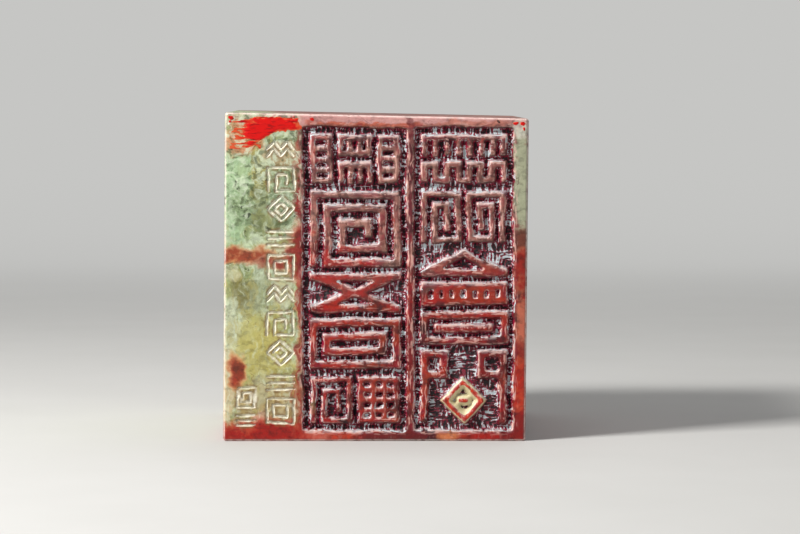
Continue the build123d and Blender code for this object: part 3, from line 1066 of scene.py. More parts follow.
@dataclass
class StripOrnament:
    """A row of small cut ornaments on the plain strip, one over the other."""

    across: float
    foot: float
    width: float
    step: float
    order: tuple[Motif, ...]
    half_cut: float = 0.36 * MM
    halo: float = 1.0 * MM
    depth: float = 0.42 * MM

    def strokes(self) -> list[tuple[float, float, float, float]]:
        """Places the lines of every ornament.

        Returns:
            Both ends of every cut, as places across and up.
        """
        cuts = []
        for index, motif in enumerate(self.order):
            middle = self.foot + (index + 0.5) * self.step
            for line in self._lines(motif):
                placed = [(self.across + x * self.width / 2, middle + z * self.step / 2) for x, z in line]
                cuts.extend((*start, *end) for start, end in zip(placed, placed[1:]))
        return cuts

    @staticmethod
    def _lines(motif: Motif) -> list[Line]:
        """One ornament's lines.

        Args:
            motif: The ornament.

        Returns:
            Corners of each line, in shares of the ornament's half width and half step.
        """
        if motif is Motif.BARS:
            return [[(-0.85, level), (0.85, level)] for level in (-0.5, -0.05, 0.4)]
        if motif is Motif.SCORE:
            return [[(-1.0, -1.0), (1.0, 1.0)]]
        if motif is Motif.CHEVRON:
            corners = [(-0.9, -0.3), (-0.45, 0.25), (0.0, -0.3), (0.45, 0.25), (0.9, -0.3)]
            return [[(x, z + lift) for x, z in corners] for lift in (0.38, -0.1)]
        if motif is Motif.FRET:
            outer = [(-0.85, -0.8), (-0.85, 0.8), (0.85, 0.8), (0.85, -0.8)]
            return [outer + [(-0.35, -0.8), (-0.35, 0.3), (0.35, 0.3), (0.35, -0.3)]]
        corners = [(1.0, 0.0), (0.0, 1.0), (-1.0, 0.0), (0.0, -1.0)]
        if motif is Motif.NEST:
            corners = [(1.0, 1.0), (-1.0, 1.0), (-1.0, -1.0), (1.0, -1.0)]
        return [[(x * share, z * share) for x, z in corners + corners[:1]] for share in (0.85, 0.42)]

    def cut_share(self, across: np.ndarray, up: np.ndarray, half_width: float) -> np.ndarray:
        """How near each place lies to a cut.

        Args:
            across: Places across the face.
            up: Places up the face.
            half_width: Distance from the middle of a cut at which the share falls to zero.

        Returns:
            Shares, one along the middle of each cut.
        """
        share = np.zeros(across.shape)
        for x0, z0, x1, z1 in self.strokes():
            near = (
                (across > min(x0, x1) - half_width) & (across < max(x0, x1) + half_width)
                & (up > min(z0, z1) - half_width) & (up < max(z0, z1) + half_width)
            )
            if not near.any():
                continue
            run = np.array([x1 - x0, z1 - z0])
            length = float(run @ run)
            along = ((across[near] - x0) * run[0] + (up[near] - z0) * run[1]) / length
            along = np.clip(along, 0, 1)
            away = np.hypot(across[near] - x0 - along * run[0], up[near] - z0 - along * run[1])
            swell = 0.7 + 0.4 * np.sin(np.pi * along)
            share[near] = np.maximum(share[near], np.clip(1 - away / (half_width * swell), 0, 1))
        return share


@dataclass(frozen=True)
class Accent:
    """The lozenge that is picked out in another colour."""

    across: float
    up: float
    reach: float
    brim: float = 0.5 * MM

    def share(self, across: np.ndarray, up: np.ndarray) -> np.ndarray:
        """One inside the lozenge and its flanks, and zero outside them."""
        away = np.abs(across - self.across) + np.abs(up - self.up)
        return 1 - smooth_step(away, self.reach, self.reach + self.brim)


@dataclass
class HandCut:
    """How a carver's hand departs from the drawn relief."""

    relief: CarvedMap
    chisels: tuple[ChiselMarks, ChiselMarks, ChiselMarks]
    ornaments: tuple[StripOrnament, ...]
    accent: Accent | None = None
    waver: float = 0.3 * MM
    waver_size: float = 6 * MM
    tremble: float = 0.1 * MM
    tremble_size: float = 1.3 * MM
    flank_break: float = 0.11 * MM
    ground_break: float = 0.28 * MM
    chip_depth: float = 0.3 * MM
    scratch: float = 0.07 * MM
    tilt_reach: float = 0.45 * MM
    tilt_gain: float = 1.7
    noise: SmoothNoise = field(default_factory=lambda: SmoothNoise(11))
    second_noise: SmoothNoise = field(default_factory=lambda: SmoothNoise(12))

    def bent(self, across: np.ndarray, up: np.ndarray) -> tuple[np.ndarray, np.ndarray]:
        """Bends the drawing as an unsteady hand does.

        Args:
            across: Places across the stone's face.
            up: Places up the stone's face.

        Returns:
            The places on the drawing that the hand reached there, across and up.
        """
        bent = []
        for straight, noise in ((across, self.noise), (up, self.second_noise)):
            wavering = straight + self.waver * noise.at(across, up, self.waver_size)
            bent.append(wavering + self.tremble * noise.at(across, up, self.tremble_size))
        return bent[0], bent[1]

    def _facets(self, across: np.ndarray, up: np.ndarray, level_walls: np.ndarray) -> np.ndarray:
        """Chisel marks that run square to the nearest wall, with small ones between them.

        Args:
            across: Places across the face.
            up: Places up the face.
            level_walls: One where the nearest wall runs level.

        Returns:
            Height of the facets.
        """
        upright, level, small = self.chisels
        turn = smooth_step(level_walls + 0.3 * self.noise.at(across, up, 3 * MM), 0.3, 0.7)
        long_marks = upright.at(across, up * 0.3) * turn + level.at(across * 0.3, up) * (1 - turn)
        marks = 0.85 * long_marks + 0.4 * small.at(across + 0.3 * up, up)
        return np.clip(marks, -small.highest, small.highest)

    def measure(self, across: np.ndarray, up: np.ndarray) -> dict[str, np.ndarray]:
        """Works out the cut surface.

        Args:
            across: Places across the face.
            up: Places up the face.

        Returns:
            The depth under the plane, and what the stone's material reads: how sunk each place is,
            the strokes' rims, the facets' crests, the worked tops, where walls run level, the bright
            cuts and their halo, the accent, and which flanks face up or down, for painted highlight and
            shade.
        """
        bent_across, bent_up = self.bent(across, up)
        relief = self.relief
        deepest = relief.deepest
        soft = relief.sample(relief.soft, bent_across, bent_up) / deepest
        level_walls = relief.sample(relief.level_walls, across, up)
        slope = relief.sample(relief.slopes, bent_across, bent_up)
        # The flanks bulge or hollow a little, and their brims are chipped.
        depth = deepest * slope ** (1 + 0.35 * self.second_noise.at(across, up, 2.6 * MM))
        edge = smooth_step(soft, 0.06, 0.24) * (1 - smooth_step(soft, 0.36, 0.6))
        chipped = smooth_step(self.noise.at(across, up, 1.2 * MM), 0.3, 0.75)
        depth = depth + self.chip_depth * chipped * edge
        # Facets break the ground, and the flanks less.
        facets = self._facets(across, up, level_walls)
        sunk = depth / deepest
        ground = smooth_step(sunk, 0.6, 0.95)
        flank = smooth_step(sunk, 0.06, 0.25) * (1 - ground)
        depth = depth + facets * (self.ground_break * ground + self.flank_break * flank)
        # Which way each place faces, up or down, sets where the material paints highlight and shade.
        above = relief.sample(relief.soft, bent_across, bent_up + self.tilt_reach)
        below = relief.sample(relief.soft, bent_across, bent_up - self.tilt_reach)
        # Fine scratches run over the tops of the strokes.
        streaks = self.second_noise.at(across, up * 0.35, 0.5 * MM)
        streaks = streaks + self.noise.at(across * 0.35, up, 0.5 * MM)
        worked = relief.sample(relief.worked, across, up)
        depth = np.maximum(depth + self.scratch * (streaks + 0.4) * worked * (1 - ground), 0)
        # The ornaments of the plain strip are cut last.
        cut = np.zeros(across.shape)
        halo = np.zeros(across.shape)
        ragged = 1 + 0.35 * self.noise.at(across, up, 0.5 * MM)
        for ornament in self.ornaments:
            share = np.clip(ornament.cut_share(bent_across, bent_up, ornament.half_cut) * ragged, 0, 1)
            depth = depth + ornament.depth * share
            cut = np.maximum(cut, smooth_step(share, 0.06, 0.5))
            beside = ornament.cut_share(bent_across, bent_up, ornament.halo)
            halo = np.maximum(halo, smooth_step(beside, 0.0, 0.5))
        accent = self.accent.share(bent_across, bent_up) if self.accent else np.zeros(across.shape)
        return {
            "depth": depth, "sunk": sunk, "rim": edge * (1 - flank), "crest": -facets,
            "worked": worked * (1 - flank) * (1 - ground), "level": level_walls, "cut": cut, "halo": halo,
            "accent": accent, "facing": np.clip(self.tilt_gain * (above - below) / deepest, -1, 1),
        }


@dataclass
class Shell:
    """A mesh in the making: points, and faces as rows of point numbers."""

    points: list[np.ndarray] = field(default_factory=list)
    faces: list[tuple[int, ...]] = field(default_factory=list)
    count: int = 0

    def add(self, points: np.ndarray) -> np.ndarray:
        """Adds points.

        Args:
            points: Places of the points, with whatever else they hold.

        Returns:
            Their numbers, in the same order.
        """
        flat = points.reshape(-1, points.shape[-1])
        numbers = np.arange(self.count, self.count + len(flat))
        self.points.append(flat)
        self.count += len(flat)
        return numbers.reshape(points.shape[:-1])

    def add_sheet(self, numbers: np.ndarray, turned: bool = False) -> None:
        """Fills a grid of points with four-sided faces.

        Args:
            numbers: Numbers of the points.
            turned: Whether the faces look the other way.
        """
        a, b = numbers[:-1, :-1].ravel(), numbers[:-1, 1:].ravel()
        c, d = numbers[1:, 1:].ravel(), numbers[1:, :-1].ravel()
        rows = np.stack([a, d, c, b] if turned else [a, b, c, d], 1)
        self.faces.extend(map(tuple, rows.tolist()))

    def stitch(self, outer: np.ndarray, outer_at: np.ndarray, inner: np.ndarray, inner_at: np.ndarray,
               turned: bool = False) -> None:
        """Joins two rows of points that run side by side with triangles.

        Args:
            outer: Point numbers of the outer row.
            outer_at: How far along each of them lies.
            inner: Point numbers of the inner row.
            inner_at: How far along each of them lies.
            turned: Whether the triangles face the other way.
        """
        i = j = 0
        while i < len(outer) - 1 or j < len(inner) - 1:
            step_outer = j == len(inner) - 1 or (i < len(outer) - 1 and outer_at[i + 1] <= inner_at[j + 1])
            if step_outer:
                face = (int(outer[i]), int(outer[i + 1]), int(inner[j]))
                i += 1
            else:
                face = (int(outer[i]), int(inner[j + 1]), int(inner[j]))
                j += 1
            self.faces.append(face[::-1] if turned else face)

    def add_plate(self, top: np.ndarray, under: np.ndarray, held: np.ndarray, turned: bool) -> None:
        """Joins two sheets that lie over each other where all four corners of a square are held.

        Args:
            top: Places of the upper sheet.
            under: Places of the lower sheet.
            held: Which of the places the plate holds.
            turned: Whether the plate faces the other way.
        """
        top, under = self.add(top), self.add(under)
        filled = held[:-1, :-1] & held[1:, :-1] & held[:-1, 1:] & held[1:, 1:]
        order = -1 if turned else 1
        padded = np.pad(filled, 1)
        for i, j in zip(*np.nonzero(filled)):
            square = [(i, j), (i, j + 1), (i + 1, j + 1), (i + 1, j)]
            self.faces.append(tuple(int(top[corner]) for corner in square)[::order])
            self.faces.append(tuple(int(under[corner]) for corner in square)[::-order])
            beside = (padded[i, j + 1], padded[i + 1, j + 2], padded[i + 2, j + 1], padded[i + 1, j])
            for side, taken in enumerate(beside):
                if not taken:
                    start, end = square[side], square[(side + 1) % 4]
                    rim = (top[end], top[start], under[start], under[end])
                    self.faces.append(tuple(int(number) for number in rim)[::order])

    def welded(self) -> tuple[np.ndarray, list[tuple[int, ...]]]:
        """Joins points that lie in one place.

        Returns:
            The points that are used, and the faces that use them.
        """
        points = np.concatenate(self.points)
        keys = np.round(points[:, :3] / WELD_STEP).astype(np.int64)
        _, first, where = np.unique(keys, axis=0, return_index=True, return_inverse=True)
        where = where.ravel()
        faces = []
        used = np.zeros(len(first), bool)
        for face in self.faces:
            joined = list(dict.fromkeys(int(where[number]) for number in face))
            if len(joined) > 2:
                faces.append(joined)
                used[joined] = True
        renumbered = (np.cumsum(used) - 1).tolist()
        return points[first][used], [tuple(renumbered[number] for number in face) for face in faces]


def new_piece(name: str, points: np.ndarray, faces: Sequence[tuple[int, ...]], material: bpy.types.Material,
              numbers: dict[str, np.ndarray] | None = None, crease: float = 38.0) -> bpy.types.Object:
    """Makes a piece whose origin is the frame's origin.

    Args:
        name: Name of the piece.
        points: Places of its points.
        faces: Its faces.
        material: Its finish.
        numbers: Numbers at each point that the finish reads, by name.
        crease: Angle in degrees above which an edge stays sharp.

    Returns:
        The object, in the scene.
    """
    mesh = bpy.data.meshes.new(name)
    mesh.from_pydata(points[:, :3].tolist(), [], faces)
    for key, values in (numbers or {}).items():
        layer = mesh.attributes.new(key, "FLOAT", "POINT")
        layer.data.foreach_set("value", np.asarray(values, np.float32))
    mesh.materials.append(material)
    mesh.validate()
    mesh.shade_smooth()
    mesh.set_sharp_from_angle(angle=math.radians(crease))
    piece = bpy.data.objects.new(name, mesh)
    bpy.context.scene.collection.objects.link(piece)
    return piece


@dataclass(frozen=True)
class BlockGrid:
    """Half sizes of the box inside the rounded edges, and where points lie along each axis."""

    half: np.ndarray
    fine: dict[int, np.ndarray]
    even: dict[int, np.ndarray]

    def along(self, axis: int, sides: dict[int, int]) -> np.ndarray:
        """Places along an edge between two sides: fine where the edge borders the front."""
        return self.fine[axis] if axis != 1 and sides.get(1) == -1 else self.even[axis]


@dataclass
class SealStone:
    """The block of stone, with its rounded edges, its carved front and its carved working face."""

    finish: VeinedStone
    front: HandCut
    foot: HandCut
    width: float = 70.0 * MM
    depth: float = 70.0 * MM
    left_height: float = 76.0 * MM
    right_height: float = 74.6 * MM
    lean: float = 0.6 * MM
    edge_round: float = 0.7 * MM
    round_steps: int = 4
    front_zones: tuple[tuple[float, float], ...] = (
        (-26.6 * MM, 0.42 * MM), (-17.0 * MM, 0.2 * MM), (31.8 * MM, 0.26 * MM), (34.3 * MM, 0.36 * MM),
    )
    row_step: float = 0.26 * MM
    foot_step: float = 0.62 * MM
    plain_step: float = 4.0 * MM
    edge_rough: float = 0.05 * MM
    edge_chip: float = 0.3 * MM
    # How pale the rounded edges are painted: wear, and a painted highlight along them.
    edge_wear_and_highlight: float = 0.9
    edge_noise: SmoothNoise = field(default_factory=lambda: SmoothNoise(21))

    def _columns(self) -> np.ndarray:
        """Spaces the front's columns, closer together where there is more to show.

        Returns:
            Their places across.
        """
        places = [np.array([-self.width / 2 + self.edge_round])]
        for end, step in self.front_zones:
            start = places[-1][-1]
            steps = max(1, round((end - start) / step))
            places.append(np.linspace(start, end, steps + 1)[1:])
        return np.concatenate(places)

    @staticmethod
    def _spread(half: float, step: float) -> np.ndarray:
        """Evenly spread places from minus half to half."""
        return np.linspace(-half, half, max(2, round(2 * half / step) + 1))

    def _straight_block(self) -> Shell:
        """The block with upright sides and a level crown, centred on the origin.

        Returns:
            A shell whose points hold a place and the direction that the rounding faces.
        """
        shell = Shell()
        half = np.array([self.width, self.depth, self.left_height]) / 2 - self.edge_round
        columns = self._columns()
        fine = {0: columns, 2: self._spread(half[2], self.row_step)}
        even = {axis: self._spread(half[axis], self.foot_step) for axis in range(3)}
        grid = BlockGrid(half, fine, even)
        # The plain faces have a wide grid inside their borders, and the working face a close one.
        plain = {axis: self._spread(half[axis] - self.foot_step, self.plain_step) for axis in range(3)}
        close = {axis: self._spread(half[axis] - self.foot_step, self.foot_step) for axis in range(3)}
        for normal in range(3):
            for side in (-1, 1):
                inner = close if (normal, side) == (2, -1) else plain
                self._add_face(shell, normal, side, grid, inner)
        for along in range(3):
            for first in (-1, 1):
                for second in (-1, 1):
                    self._add_edge(shell, along, first, second, grid)
        for corner in np.ndindex(2, 2, 2):
            self._add_corner(shell, np.array(corner) * 2 - 1, half)
        return shell

    def _point(self, place: np.ndarray, facing: np.ndarray) -> np.ndarray:
        """A point on the rounding over a place of the inner box."""
        return np.concatenate([place + self.edge_round * facing, facing], axis=-1)

    def _add_face(self, shell: Shell, normal: int, side: int, grid: BlockGrid,
                  inner: dict[int, np.ndarray]) -> None:
        """Adds one flat face, as a grid, or as a coarser grid stitched to its borders.

        Args:
            shell: Shell that takes the face.
            normal: Axis that the face looks along.
            side: Which way it looks along it.
            grid: Where the block's points lie.
            inner: Places of the coarser grid.
        """
        u_axis, v_axis = [axis for axis in range(3) if axis != normal]
        turned = (side < 0) != (normal == 1)
        facing = np.zeros(3)
        facing[normal] = side

        def put(us: np.ndarray, vs: np.ndarray) -> np.ndarray:
            """Adds points of the face.

            Args:
                us: Places along the face's first axis.
                vs: Places along its second axis.

            Returns:
                Numbers of the points, in rows.
            """
            places = np.zeros((len(vs), len(us), 3))
            places[..., u_axis] = us[None, :]
            places[..., v_axis] = vs[:, None]
            places[..., normal] = side * grid.half[normal]
            return shell.add(self._point(places, np.broadcast_to(facing, places.shape)))

        if (normal, side) == (1, -1):
            shell.add_sheet(put(grid.fine[u_axis], grid.fine[v_axis]), turned)
            return
        us, vs = inner[u_axis], inner[v_axis]
        middle = put(us, vs)
        shell.add_sheet(middle, turned)
        for end in (-1, 1):
            row = -1 if end > 0 else 0
            level = grid.along(u_axis, {normal: side, v_axis: end})
            border = put(level, np.array([end * grid.half[v_axis]]))[0]
            shell.stitch(border, level, middle[row], us, turned != (end > 0))
            upright = grid.along(v_axis, {normal: side, u_axis: end})
            border = put(np.array([end * grid.half[u_axis]]), upright)[:, 0]
            shell.stitch(border, upright, middle[:, row], vs, turned == (end > 0))

    def _add_edge(self, shell: Shell, along: int, first: int, second: int, grid: BlockGrid) -> None:
        """Adds one rounded edge.

        Args:
            shell: Shell that takes the edge.
            along: Axis that the edge runs along.
            first: Side of the next axis.
            second: Side of the axis after it.
            grid: Where the block's points lie.
        """
        next_axis, last_axis = (along + 1) % 3, (along + 2) % 3
        places_along = grid.along(along, {next_axis: first, last_axis: second})
        steps = np.arange(self.round_steps + 1)
        facing = np.zeros((len(steps), 3))
        facing[:, next_axis] = first * (self.round_steps - steps)
        facing[:, last_axis] = second * steps
        facing /= np.linalg.norm(facing, axis=1)[:, None]
        places = np.zeros((len(places_along), len(steps), 3))
        places[..., along] = places_along[:, None]
        places[..., next_axis] = first * grid.half[next_axis]
        places[..., last_axis] = second * grid.half[last_axis]
        numbers = shell.add(self._point(places, np.broadcast_to(facing, places.shape)))
        shell.add_sheet(numbers, first * second > 0)

    def _add_corner(self, shell: Shell, signs: np.ndarray, half: np.ndarray) -> None:
        """Adds one rounded corner, as an eighth of a ball.

        Args:
            shell: Shell that takes the corner.
            signs: Which way the corner points along each axis.
            half: Half sizes of the inner box.
        """
        steps = self.round_steps
        numbers: dict[tuple[int, int], int] = {}
        for i in range(steps + 1):
            for j in range(steps + 1 - i):
                facing = np.array([i, j, steps - i - j], float) * signs
                facing /= np.linalg.norm(facing)
                point = self._point(signs * half, facing)
                numbers[i, j] = int(shell.add(point[None, :])[0])
        outward = signs.prod() > 0
        for i in range(steps):
            for j in range(steps - i):
                face = (numbers[i, j], numbers[i + 1, j], numbers[i, j + 1])
                shell.faces.append(face if outward else face[::-1])
                if i + j < steps - 1:
                    face = (numbers[i + 1, j], numbers[i + 1, j + 1], numbers[i, j + 1])
                    shell.faces.append(face if outward else face[::-1])

    def _settled(self, points: np.ndarray) -> np.ndarray:
        """Leans the sides, slopes the crown and stands the block on the floor.

        Args:
            points: Points of the upright block.

        Returns:
            The moved points.
        """
        settled = points.copy()
        share = (points[:, 2] + self.left_height / 2) / self.left_height
        across = points[:, 0] / self.width
        crown = (self.left_height + self.right_height) / 2 + (self.right_height - self.left_height) * across
        settled[:, 2] = share * crown
        settled[:, 0] = points[:, 0] + self.lean * (share - 0.5)
        return settled

    def _worn(self, points: np.ndarray) -> np.ndarray:
        """Wears the rounded edges, with a small chip here and there.

        Args:
            points: Points with the direction that the rounding faces.

        Returns:
            The worn points.
        """
        worn = points.copy()
        facing = points[:, 3:6]
        run = points[:, 0] + 1.7 * points[:, 1] + 2.3 * points[:, 2]
        rough = self.edge_noise.at(run, points[:, 0] - points[:, 2], 2.2 * MM)
        chip = smooth_step(self.edge_noise.at(run, points[:, 1] + points[:, 2], 1.4 * MM), 0.55, 0.9)
        inward = self.edge_rough * rough + self.edge_chip * chip
        worn[:, :3] -= facing * (inward * self._rounding(points))[:, None]
        return worn

    @staticmethod
    def _rounding(points: np.ndarray) -> np.ndarray:
        """How far each point lies up a rounded edge, from 0 on a flat face to 1 on the corner's line."""
        return smooth_step(1 - np.abs(points[:, 3:6]).max(axis=1), 0.02, 0.25)

    def build(self) -> bpy.types.Object:
        """Builds the stone.

        Returns:
            The stone's piece.
        """
        points, faces = self._straight_block().welded()
        points = self._worn(self._settled(points))
        numbers = {key: np.zeros(len(points)) for key in (*MEASURED, "edge")}
        # Pale wear along the rounded edges, which also stands as a painted highlight on them.
        numbers["edge"] = self.edge_wear_and_highlight * self._rounding(points)
        on_front = points[:, 4] < -SQUARE_ON
        self._cut_face(points, on_front, 0, 2, 1, self.front, numbers)
        on_foot = points[:, 5] < -SQUARE_ON
        self._cut_face(points, on_foot, 0, 1, 2, self.foot, numbers)
        return new_piece("seal_stone_carved", points, faces, self.finish.material(), numbers)

    @staticmethod
    def _cut_face(points: np.ndarray, chosen: np.ndarray, across: int, up: int, inward: int, hand: HandCut,
                  numbers: dict[str, np.ndarray]) -> None:
        """Cuts one face's relief into its points.

        Args:
            points: All the points, which are changed.
            chosen: Which of them lie on the face.
            across: Axis across the face.
            up: Axis up the face.
            inward: Axis into the stone.
            hand: The face's cutting.
            numbers: The numbers at each point, which are filled in.
        """
        measured = hand.measure(points[chosen, across], points[chosen, up])
        points[chosen, inward] += measured["depth"]
        for key in MEASURED:
            numbers[key][chosen] = measured[key]


@dataclass
class PasteFilm:
    """Dried paste in the pits of one carved ground. Ridges that stand above its level stay bare."""

    name: str
    replaced: str
    hand: HandCut
    finish: bpy.types.Material
    axes: tuple[int, int, int]
    plane: float
    step: float
    level_share: float = 0.86
    follow: float = 0.6
    thickness: float = 0.2 * MM
    ridge: float = 0.15 * MM
    margin: float = 0.3 * MM

    def build(self) -> bpy.types.Object:
        """Builds the film.

        Returns:
            The film's piece, which stands for its node.
        """
        across_axis, up_axis, inward_axis = self.axes
        low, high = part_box(self.replaced)
        us = np.arange(low[across_axis] - self.margin, high[across_axis] + self.margin, self.step)
        vs = np.arange(low[up_axis] - self.margin, high[up_axis] + self.margin, self.step)
        across, up = np.meshgrid(us, vs)
        measured = self.hand.measure(across.ravel(), up.ravel())
        depth = measured["depth"].reshape(across.shape)
        level_walls = measured["level"].reshape(across.shape)
        level = self.hand.relief.deepest * self.level_share
        surface = level + self.follow * (depth - level)
        held = depth > level - self.ridge
        sheets = []
        for sunk in (surface, np.maximum(surface, depth) + self.thickness):
            places = np.zeros((*across.shape, 4))
            places[..., across_axis] = across
            places[..., up_axis] = up
            places[..., inward_axis] = self.plane + sunk
            places[..., 3] = level_walls
            sheets.append(places)
        shell = Shell()
        shell.add_plate(*sheets, held, self.axes == (0, 1, 2))
        points, faces = shell.welded()
        piece = new_piece(self.name, points, faces, self.finish, {"level": points[:, 3]})
        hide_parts(self.replaced)
        return piece


@dataclass
class PasteSmear:
    """Bright paste wiped across the front's upper left corner, ragged where the wipe began."""

    finish: bpy.types.Material
    plane: float
    replaced: str = "paste_corner_smear"
    step: float = 0.11 * MM
    thickest: float = 0.16 * MM
    rim_sunk: float = 0.01 * MM
    back_sunk: float = 0.05 * MM
    foot_line: tuple[tuple[float, float], ...] = (
        (0.0, 0.1), (0.16, 0.02), (0.23, 0.0), (0.32, 0.08), (0.4, 0.2), (0.49, 0.31), (0.58, 0.43),
        (0.67, 0.52), (0.88, 0.55), (1.0, 0.62),
    )
    noise: SmoothNoise = field(default_factory=lambda: SmoothNoise(41))

    def _thickness(self, across: np.ndarray, up: np.ndarray) -> np.ndarray:
        """How thickly the paste lies.

        Args:
            across: Shares of the smear's width.
            up: Shares of its height.

        Returns:
            Thickness, which is under zero where there is no paste.
        """
        foot = np.interp(across, *zip(*self.foot_line))
        top = 1.0 - 0.15 * smooth_step(-across, -0.2, 0.0) - 0.05 * smooth_step(across, 0.6, 1.0)
        # The body of the smear, between its top and its foot line.
        ragged = self.noise.at(across * 26.0, up * 16.0, 1.0)
        body = np.minimum(np.minimum(top - up, up - foot), 0.9 * (0.98 - across + 0.03 * ragged))
        # Its left end, torn into streaks and gaps.
        lines = self.noise.at(across * 3.0, up * 15.0 + across * 3.0, 1.0)
        fine_lines = self.noise.at(across * 5.0 + 9.0, up * 26.0 + across * 4.0, 1.0)
        flecks = self.noise.at(across * 14.0, up * 24.0, 1.0)
        reach = 0.1 - 0.16 * lines - 0.12 * fine_lines + 0.04 * flecks
        body = np.minimum(body, 0.7 * (across - reach))
        gaps = smooth_step(fine_lines - 0.5 * lines, 0.1, 0.5) * smooth_step(-across, -0.38, -0.05)
        body = body - 0.22 * gaps
        body = body * (0.3 + 0.7 * smooth_step(across, 0.08, 0.3))
        body = body + 0.035 * ragged * smooth_step(across, 0.0, 0.25)
        # Thin hairs of paste that start further left.
        hairs = self.noise.at(across * 4.0 + 3.0, up * 19.0 + across * 2.0, 1.0)
        hairs = 0.09 * smooth_step(hairs, -0.05, 0.35) - 0.025
        starts = 0.02 + 0.06 * self.noise.at(up * 26.0, across * 2.0 + 5.0, 1.0)
        hairs = np.minimum(hairs, 0.4 * np.minimum(top - up, np.minimum(across - starts, 0.45 - across)))
        return np.maximum(body, hairs)

    def build(self) -> bpy.types.Object:
        """Builds the smear.

        Returns:
            The smear's piece, which stands for its node.
        """
        low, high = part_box(self.replaced)
        us = np.arange(low[0], high[0], self.step)
        vs = np.arange(low[2], high[2], self.step)
        across, up = np.meshgrid(us, vs)
        thick = self._thickness((across - low[0]) / (high[0] - low[0]), (up - low[2]) / (high[2] - low[2]))
        raised = self.thickest * smooth_step(thick, -0.02, 0.16) - self.rim_sunk
        sunk = np.full(raised.shape, -self.back_sunk)
        sheets = [
            np.stack([across, self.plane - level, up, raised / self.thickest], axis=-1)
            for level in (raised, sunk)
        ]
        shell = Shell()
        shell.add_plate(*sheets, thick > 0, False)
        points, faces = shell.welded()
        piece = new_piece("paste_smear", points, faces, self.finish, {"thick": points[:, 3]})
        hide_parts(self.replaced)
        return piece


@dataclass(frozen=True)
class Dab:
    """One speck of paste on the front, in millimetres."""

    across: float
    up: float
    width: float
    height: float


@dataclass
class PasteDabs:
    """Specks of bright paste near the front's upper corners."""

    finish: bpy.types.Material
    plane: float
    replaced: str = "paste_dabs"
    dabs: tuple[Dab, ...] = (
        Dab(-33.3, 74.75, 1.25, 0.9), Dab(-33.5, 73.9, 0.6, 0.5), Dab(-14.65, 74.4, 1.0, 0.8),
        Dab(-18.8, 74.9, 0.4, 0.3), Dab(32.3, 73.45, 1.2, 0.8), Dab(33.9, 73.4, 1.2, 0.9),
        Dab(34.2, 72.2, 0.5, 0.8),
    )
    rings: tuple[tuple[float, float], ...] = ((1.08, -0.06), (1.0, 0.02), (0.7, 0.09), (0.35, 0.12))
    around: int = 20
    seed: int = 51
    unevenness: float = 0.14
    thick_per_rise: float = 6.0

    def build(self) -> bpy.types.Object:
        """Builds the specks as low domes with uneven outlines.

        Returns:
            The specks' piece, which stands for their node.
        """
        random = np.random.default_rng(self.seed)
        angles = np.linspace(0, 2 * math.pi, self.around, endpoint=False)
        shell = Shell()
        for dab in self.dabs:
            uneven = 1 + sum(
                random.uniform(-self.unevenness, self.unevenness)
                * np.cos(turns * angles + random.uniform(0, 6))
                for turns in (2, 3, 5)
            )
            loops = []
            for reach, rise in self.rings:
                across = dab.across + dab.width / 2 * reach * uneven * np.cos(angles)
                up = dab.up + dab.height / 2 * reach * uneven * np.sin(angles)
                places = np.stack([across, np.full(self.around, self.plane / MM - rise), up], axis=-1) * MM
                thick = np.full((self.around, 1), self.thick_per_rise * rise)
                loops.append(shell.add(np.hstack([places, thick])))
            for outer, inner in zip(loops, loops[1:]):
                for i in range(self.around):
                    after = (i + 1) % self.around
                    shell.faces.append((int(outer[i]), int(outer[after]), int(inner[after]), int(inner[i])))
            shell.faces.append(tuple(int(number) for number in loops[-1]))
            shell.faces.append(tuple(int(number) for number in loops[0][::-1]))
        points, faces = shell.welded()
        piece = new_piece("paste_specks", points, faces, self.finish, {"thick": points[:, 3]})
        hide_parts(self.replaced)
        return piece


